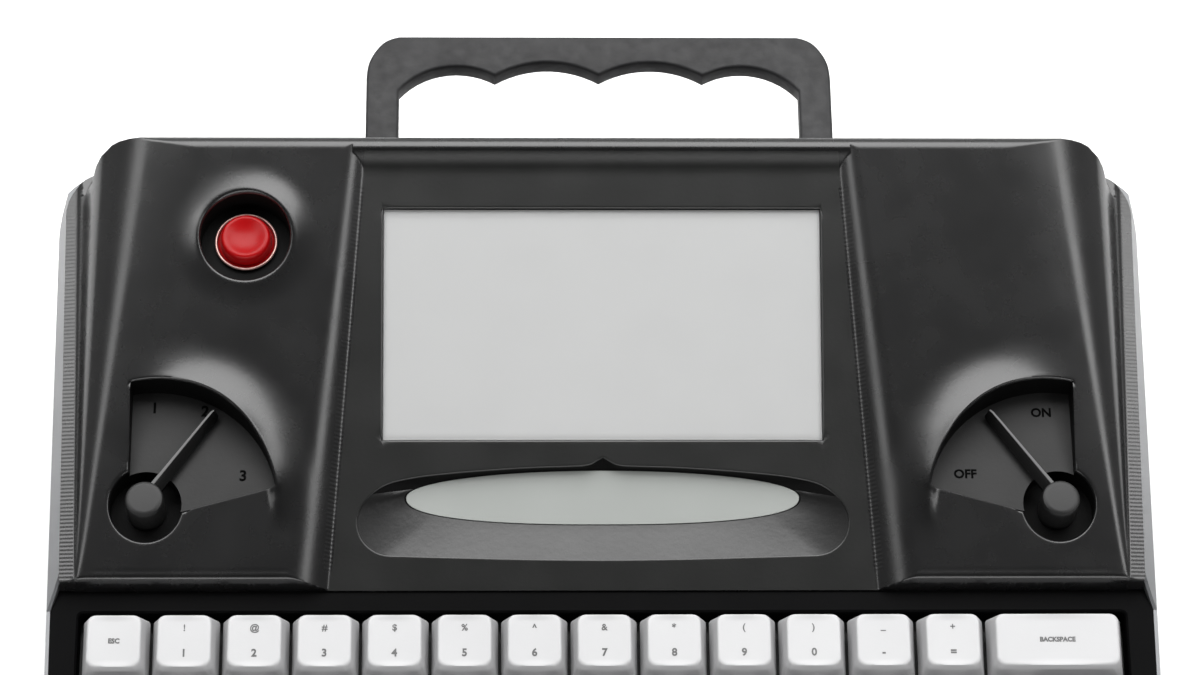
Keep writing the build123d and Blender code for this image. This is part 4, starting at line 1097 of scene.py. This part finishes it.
# plain numbers and ON / OFF on the dials
marks = []
for txt, u_, v_, size in (("1", -1.5, 29.0, 4.4), ("2", -15.5, 28.0, 4.4), ("3", -26.5, 8.6, 4.4)):
    marks.append(text_mesh(txt, size, -(HUB_X + u_), HUB_V + v_, 0.02, "d", plane=MECH, mat="engrave", bold=0.12))
for txt, u_, v_, size in (("ON", -3.4, 27.5, 3.6), ("OFF", -25.5, 9.0, 3.6)):
    marks.append(text_mesh(txt, size, HUB_X + u_, HUB_V + v_, 0.02, "d", plane=MECH, mat="engrave", bold=0.12))
join_meshes("dial_marks", marks, "body")


# --------------------------------------------------------------------------
# carry handle
# --------------------------------------------------------------------------
def handle_outline():
    y0, y1 = 130.85, 168.0    # the legs end inside the hinge eyes, clear of the pins
    left = [(-67.0, y0), (-67.0, y1 - 14.0)]
    c = spline([(-67.0, y1 - 20), (-67.0, y1 - 14.0), (-66.4, y1 - 9.0), (-64.6, y1 - 5.0), (-61.8, y1 - 1.7), (-57.6, y1), (-50.0, y1)], 0.9, closed=False)
    c = c[(c[:, 1] > y1 - 14.0 + 0.2) & (c[:, 0] < -57.6 - 0.2)]
    outer_left = [(-67.0, y0), (-67.0, y1 - 14.0)] + [tuple(p) for p in c] + [(-57.6, y1)]

    def arc3(p0, pm, p1, n):
        (x0, y0_), (x1, y1_), (x2, y2_) = p0, pm, p1
        a = np.array([[2 * (x1 - x0), 2 * (y1_ - y0_)], [2 * (x2 - x0), 2 * (y2_ - y0_)]])
        b = np.array([x1**2 - x0**2 + y1_**2 - y0_**2, x2**2 - x0**2 + y2_**2 - y0_**2])
        cx, cy = np.linalg.solve(a, b)
        r = math.hypot(x0 - cx, y0_ - cy)
        t0, t2 = math.atan2(y0_ - cy, x0 - cx), math.atan2(y2_ - cy, x2 - cx)
        return [(cx + r * math.cos(t), cy + r * math.sin(t)) for t in np.linspace(t0, t2, n)]

    y1s = y1
    s1 = arc3((57.6, y1s - 18.4), (42.0, y1s - 10.2), (30.0, y1s - 13.4), 14)
    s2 = arc3((30.0, y1s - 13.4), (15.0, y1s - 8.8), (0.0, y1s - 13.2), 14)
    s3 = [(-x, y) for x, y in s2[::-1]]
    s4 = [(-x, y) for x, y in s1[::-1]]
    right = [(-x, y) for x, y in outer_left[::-1]]
    inner = [(57.6, y0)] + s1 + s2[1:] + s3[1:] + s4[1:] + [(-57.6, y0)]
    return outer_left, right, inner


ol, orr, inn = handle_outline()
loop = np.array(ol + [(x, 168.0) for x in np.arange(-50, 55, 10.0)] + orr + inn)
loop = ccw(dense(loop, 3.0))


def make_handle():
    Z0, Z1, e = 55.0, 61.0, 0.9
    me = bpy.data.meshes.new("handle_tmp")
    bm = bmesh.new()
    bot = [bm.verts.new(((x) * MM, (a + YW) * MM, Z0 * MM)) for x, a in loop]
    face = bm.faces.new(bot[::-1])
    ret = bmesh.ops.extrude_face_region(bm, geom=[face])
    top_v = [g for g in ret["geom"] if isinstance(g, bmesh.types.BMVert)]
    bmesh.ops.translate(bm, verts=top_v, vec=(0, 0, (Z1 - Z0) * MM))
    bmesh.ops.recalc_face_normals(bm, faces=bm.faces)
    rim_e = [ed for ed in bm.edges if abs(ed.verts[0].co.z - ed.verts[1].co.z) < 1e-7 and min(v.co.y for v in ed.verts) > (132 + YW) * MM * 1.0 - 1]
    bmesh.ops.bevel(bm, geom=rim_e, offset=e * MM, segments=3, profile=0.5, affect="EDGES", clamp_overlap=True)
    bmesh.ops.triangulate(bm, faces=[f for f in bm.faces if len(f.verts) > 4])
    # hinge eyes
    for x in (-62.3, 62.3):
        cy, cz = (128.5 + YW) * MM, 58.0 * MM
        seg = 40
        rings = []
        for xx, r in ((x - 4.7, 3.7), (x - 4.5, 4.1), (x - 4.2, 4.2), (x + 4.2, 4.2), (x + 4.5, 4.1), (x + 4.7, 3.7)):
            rings.append([bm.verts.new((xx * MM, cy + r * MM * math.cos(2 * math.pi * i / seg), cz + r * MM * math.sin(2 * math.pi * i / seg))) for i in range(seg)])
        hole0 = [bm.verts.new(((x - 4.7) * MM, cy + 2.05 * MM * math.cos(2 * math.pi * i / seg), cz + 2.05 * MM * math.sin(2 * math.pi * i / seg))) for i in range(seg)]
        hole1 = [bm.verts.new(((x + 4.7) * MM, cy + 2.05 * MM * math.cos(2 * math.pi * i / seg), cz + 2.05 * MM * math.sin(2 * math.pi * i / seg))) for i in range(seg)]
        chain = [hole0] + rings + [hole1, hole0]
        for p, q in zip(chain[:-1], chain[1:]):
            for i in range(seg):
                j = (i + 1) % seg
                bm.faces.new((p[i], q[i], q[j], p[j]))
    bm.to_mesh(me)
    bm.free()
    me.materials.append(MAT["handle"])
    me.polygons.foreach_set("use_smooth", [True] * len(me.polygons))
    me.set_sharp_from_angle(angle=rad(40))
    ob = bpy.data.objects.new("handle_bow", me)
    bpy.context.scene.collection.objects.link(ob)
    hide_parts("carry_handle")
    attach(ob, "carry_handle_body")


make_handle()


# --------------------------------------------------------------------------
# floor, light, camera
# --------------------------------------------------------------------------
def make_floor():
    me = bpy.data.meshes.new("floor")
    sz = 6.0
    me.from_pydata([(-sz, -sz, 0), (sz, -sz, 0), (sz, sz, 0), (-sz, sz, 0)], [], [(0, 1, 2, 3)])
    m, nt, b = new_mat("floor_pale")
    vec = obj_coords(nt)
    nt.links.new(ramp(nt, noise(nt, vec, 3, 2.0), [(0.3, 0.93), (0.7, 0.95)]), b.inputs["Base Color"])
    b.inputs["Roughness"].default_value = 0.9
    b.inputs["Specular IOR Level"].default_value = 0.2
    me.materials.append(m)
    ob = bpy.data.objects.new("floor", me)
    bpy.context.scene.collection.objects.link(ob)


make_floor()


def area(name, loc, target, sx, sy, power, color=(1, 1, 1)):
    l = bpy.data.lights.new(name, "AREA")
    l.shape = "RECTANGLE"
    l.size, l.size_y = sx, sy
    l.energy = power
    l.color = color
    ob = bpy.data.objects.new(name, l)
    ob.location = loc
    d = Vector(target) - Vector(loc)
    ob.rotation_euler = d.to_track_quat("-Z", "Y").to_euler()
    bpy.context.scene.collection.objects.link(ob)
    return ob


def softbox(name, azimuth, elevation, distance, sx, sy, radiance):
    """A rectangular softbox that looks at the object; azimuth 0 = rear, positive = right."""
    az, el_ = rad(azimuth), rad(elevation)
    loc = Vector((0, 0.04, 0.05)) + distance * Vector((math.sin(az) * math.cos(el_), math.cos(az) * math.cos(el_), math.sin(el_)))
    area(name, loc, (0, 0.04, 0.05), sx, sy, radiance * math.pi * sx * sy)


softbox("softbox_rear", 0, 59, 1.8, 2.2, 1.45, 5.6)
softbox("softbox_left", -88, 52, 1.6, 1.0, 0.42, 3.7)
softbox("softbox_right", 88, 52, 1.6, 1.0, 0.42, 5.4)
softbox("fill_front", 180, 20, 2.2, 3.0, 0.6, 4.8)

world = bpy.data.worlds.new("studio")
bpy.context.scene.world = world
world.use_nodes = True
wn = world.node_tree
wn.nodes.clear()
wo = wn.nodes.new("ShaderNodeOutputWorld")
bg = wn.nodes.new("ShaderNodeBackground")
tc = wn.nodes.new("ShaderNodeTexCoord")
sep = wn.nodes.new("ShaderNodeSeparateXYZ")
wr = wn.nodes.new("ShaderNodeValToRGB")
wn.links.new(tc.outputs["Generated"], sep.inputs["Vector"])
mr = wn.nodes.new("ShaderNodeMapRange")
mr.inputs["From Min"].default_value = -1.0
mr.inputs["From Max"].default_value = 1.0
wn.links.new(sep.outputs["Y"], mr.inputs["Value"])
wn.links.new(mr.outputs["Result"], wr.inputs["Fac"])
els = wr.color_ramp.elements
els[0].position, els[0].color = 0.0, (0.03, 0.03, 0.03, 1)
els[1].position, els[1].color = 1.0, (0.9, 0.9, 0.9, 1)
for pos, c in ((0.32, 0.05), (0.45, 0.15), (0.55, 0.35), (0.75, 0.8)):
    e2 = els.new(pos)
    e2.color = (c, c, c, 1)
wn.links.new(wr.outputs["Color"], bg.inputs["Color"])
bg.inputs["Strength"].default_value = 1.0
wn.links.new(bg.outputs["Background"], wo.inputs["Surface"])

bpy.context.scene.view_settings.view_transform = "Standard"
bpy.context.scene.view_settings.look = "None"
bpy.context.scene.view_settings.exposure = 0.0

cam = bpy.data.cameras.new("camera")
cam.sensor_width = 36.0
cam.lens = 118.8
cam.clip_start = 0.05
cam.clip_end = 30.0
co = bpy.data.objects.new("camera", cam)
target = Vector((0.0, 0.0375, 0.063742))
el = rad(62.0)
co.location = target + Vector((0.0, -math.cos(el), math.sin(el))) * 1.1 + Vector((-0.028, 0.0, 0.0))
co.rotation_euler = (Matrix.Rotation(rad(90.0) - el, 3, "X") @ Matrix.Rotation(rad(-1.422), 3, "Y")).to_euler()
bpy.context.scene.collection.objects.link(co)
bpy.context.scene.camera = co
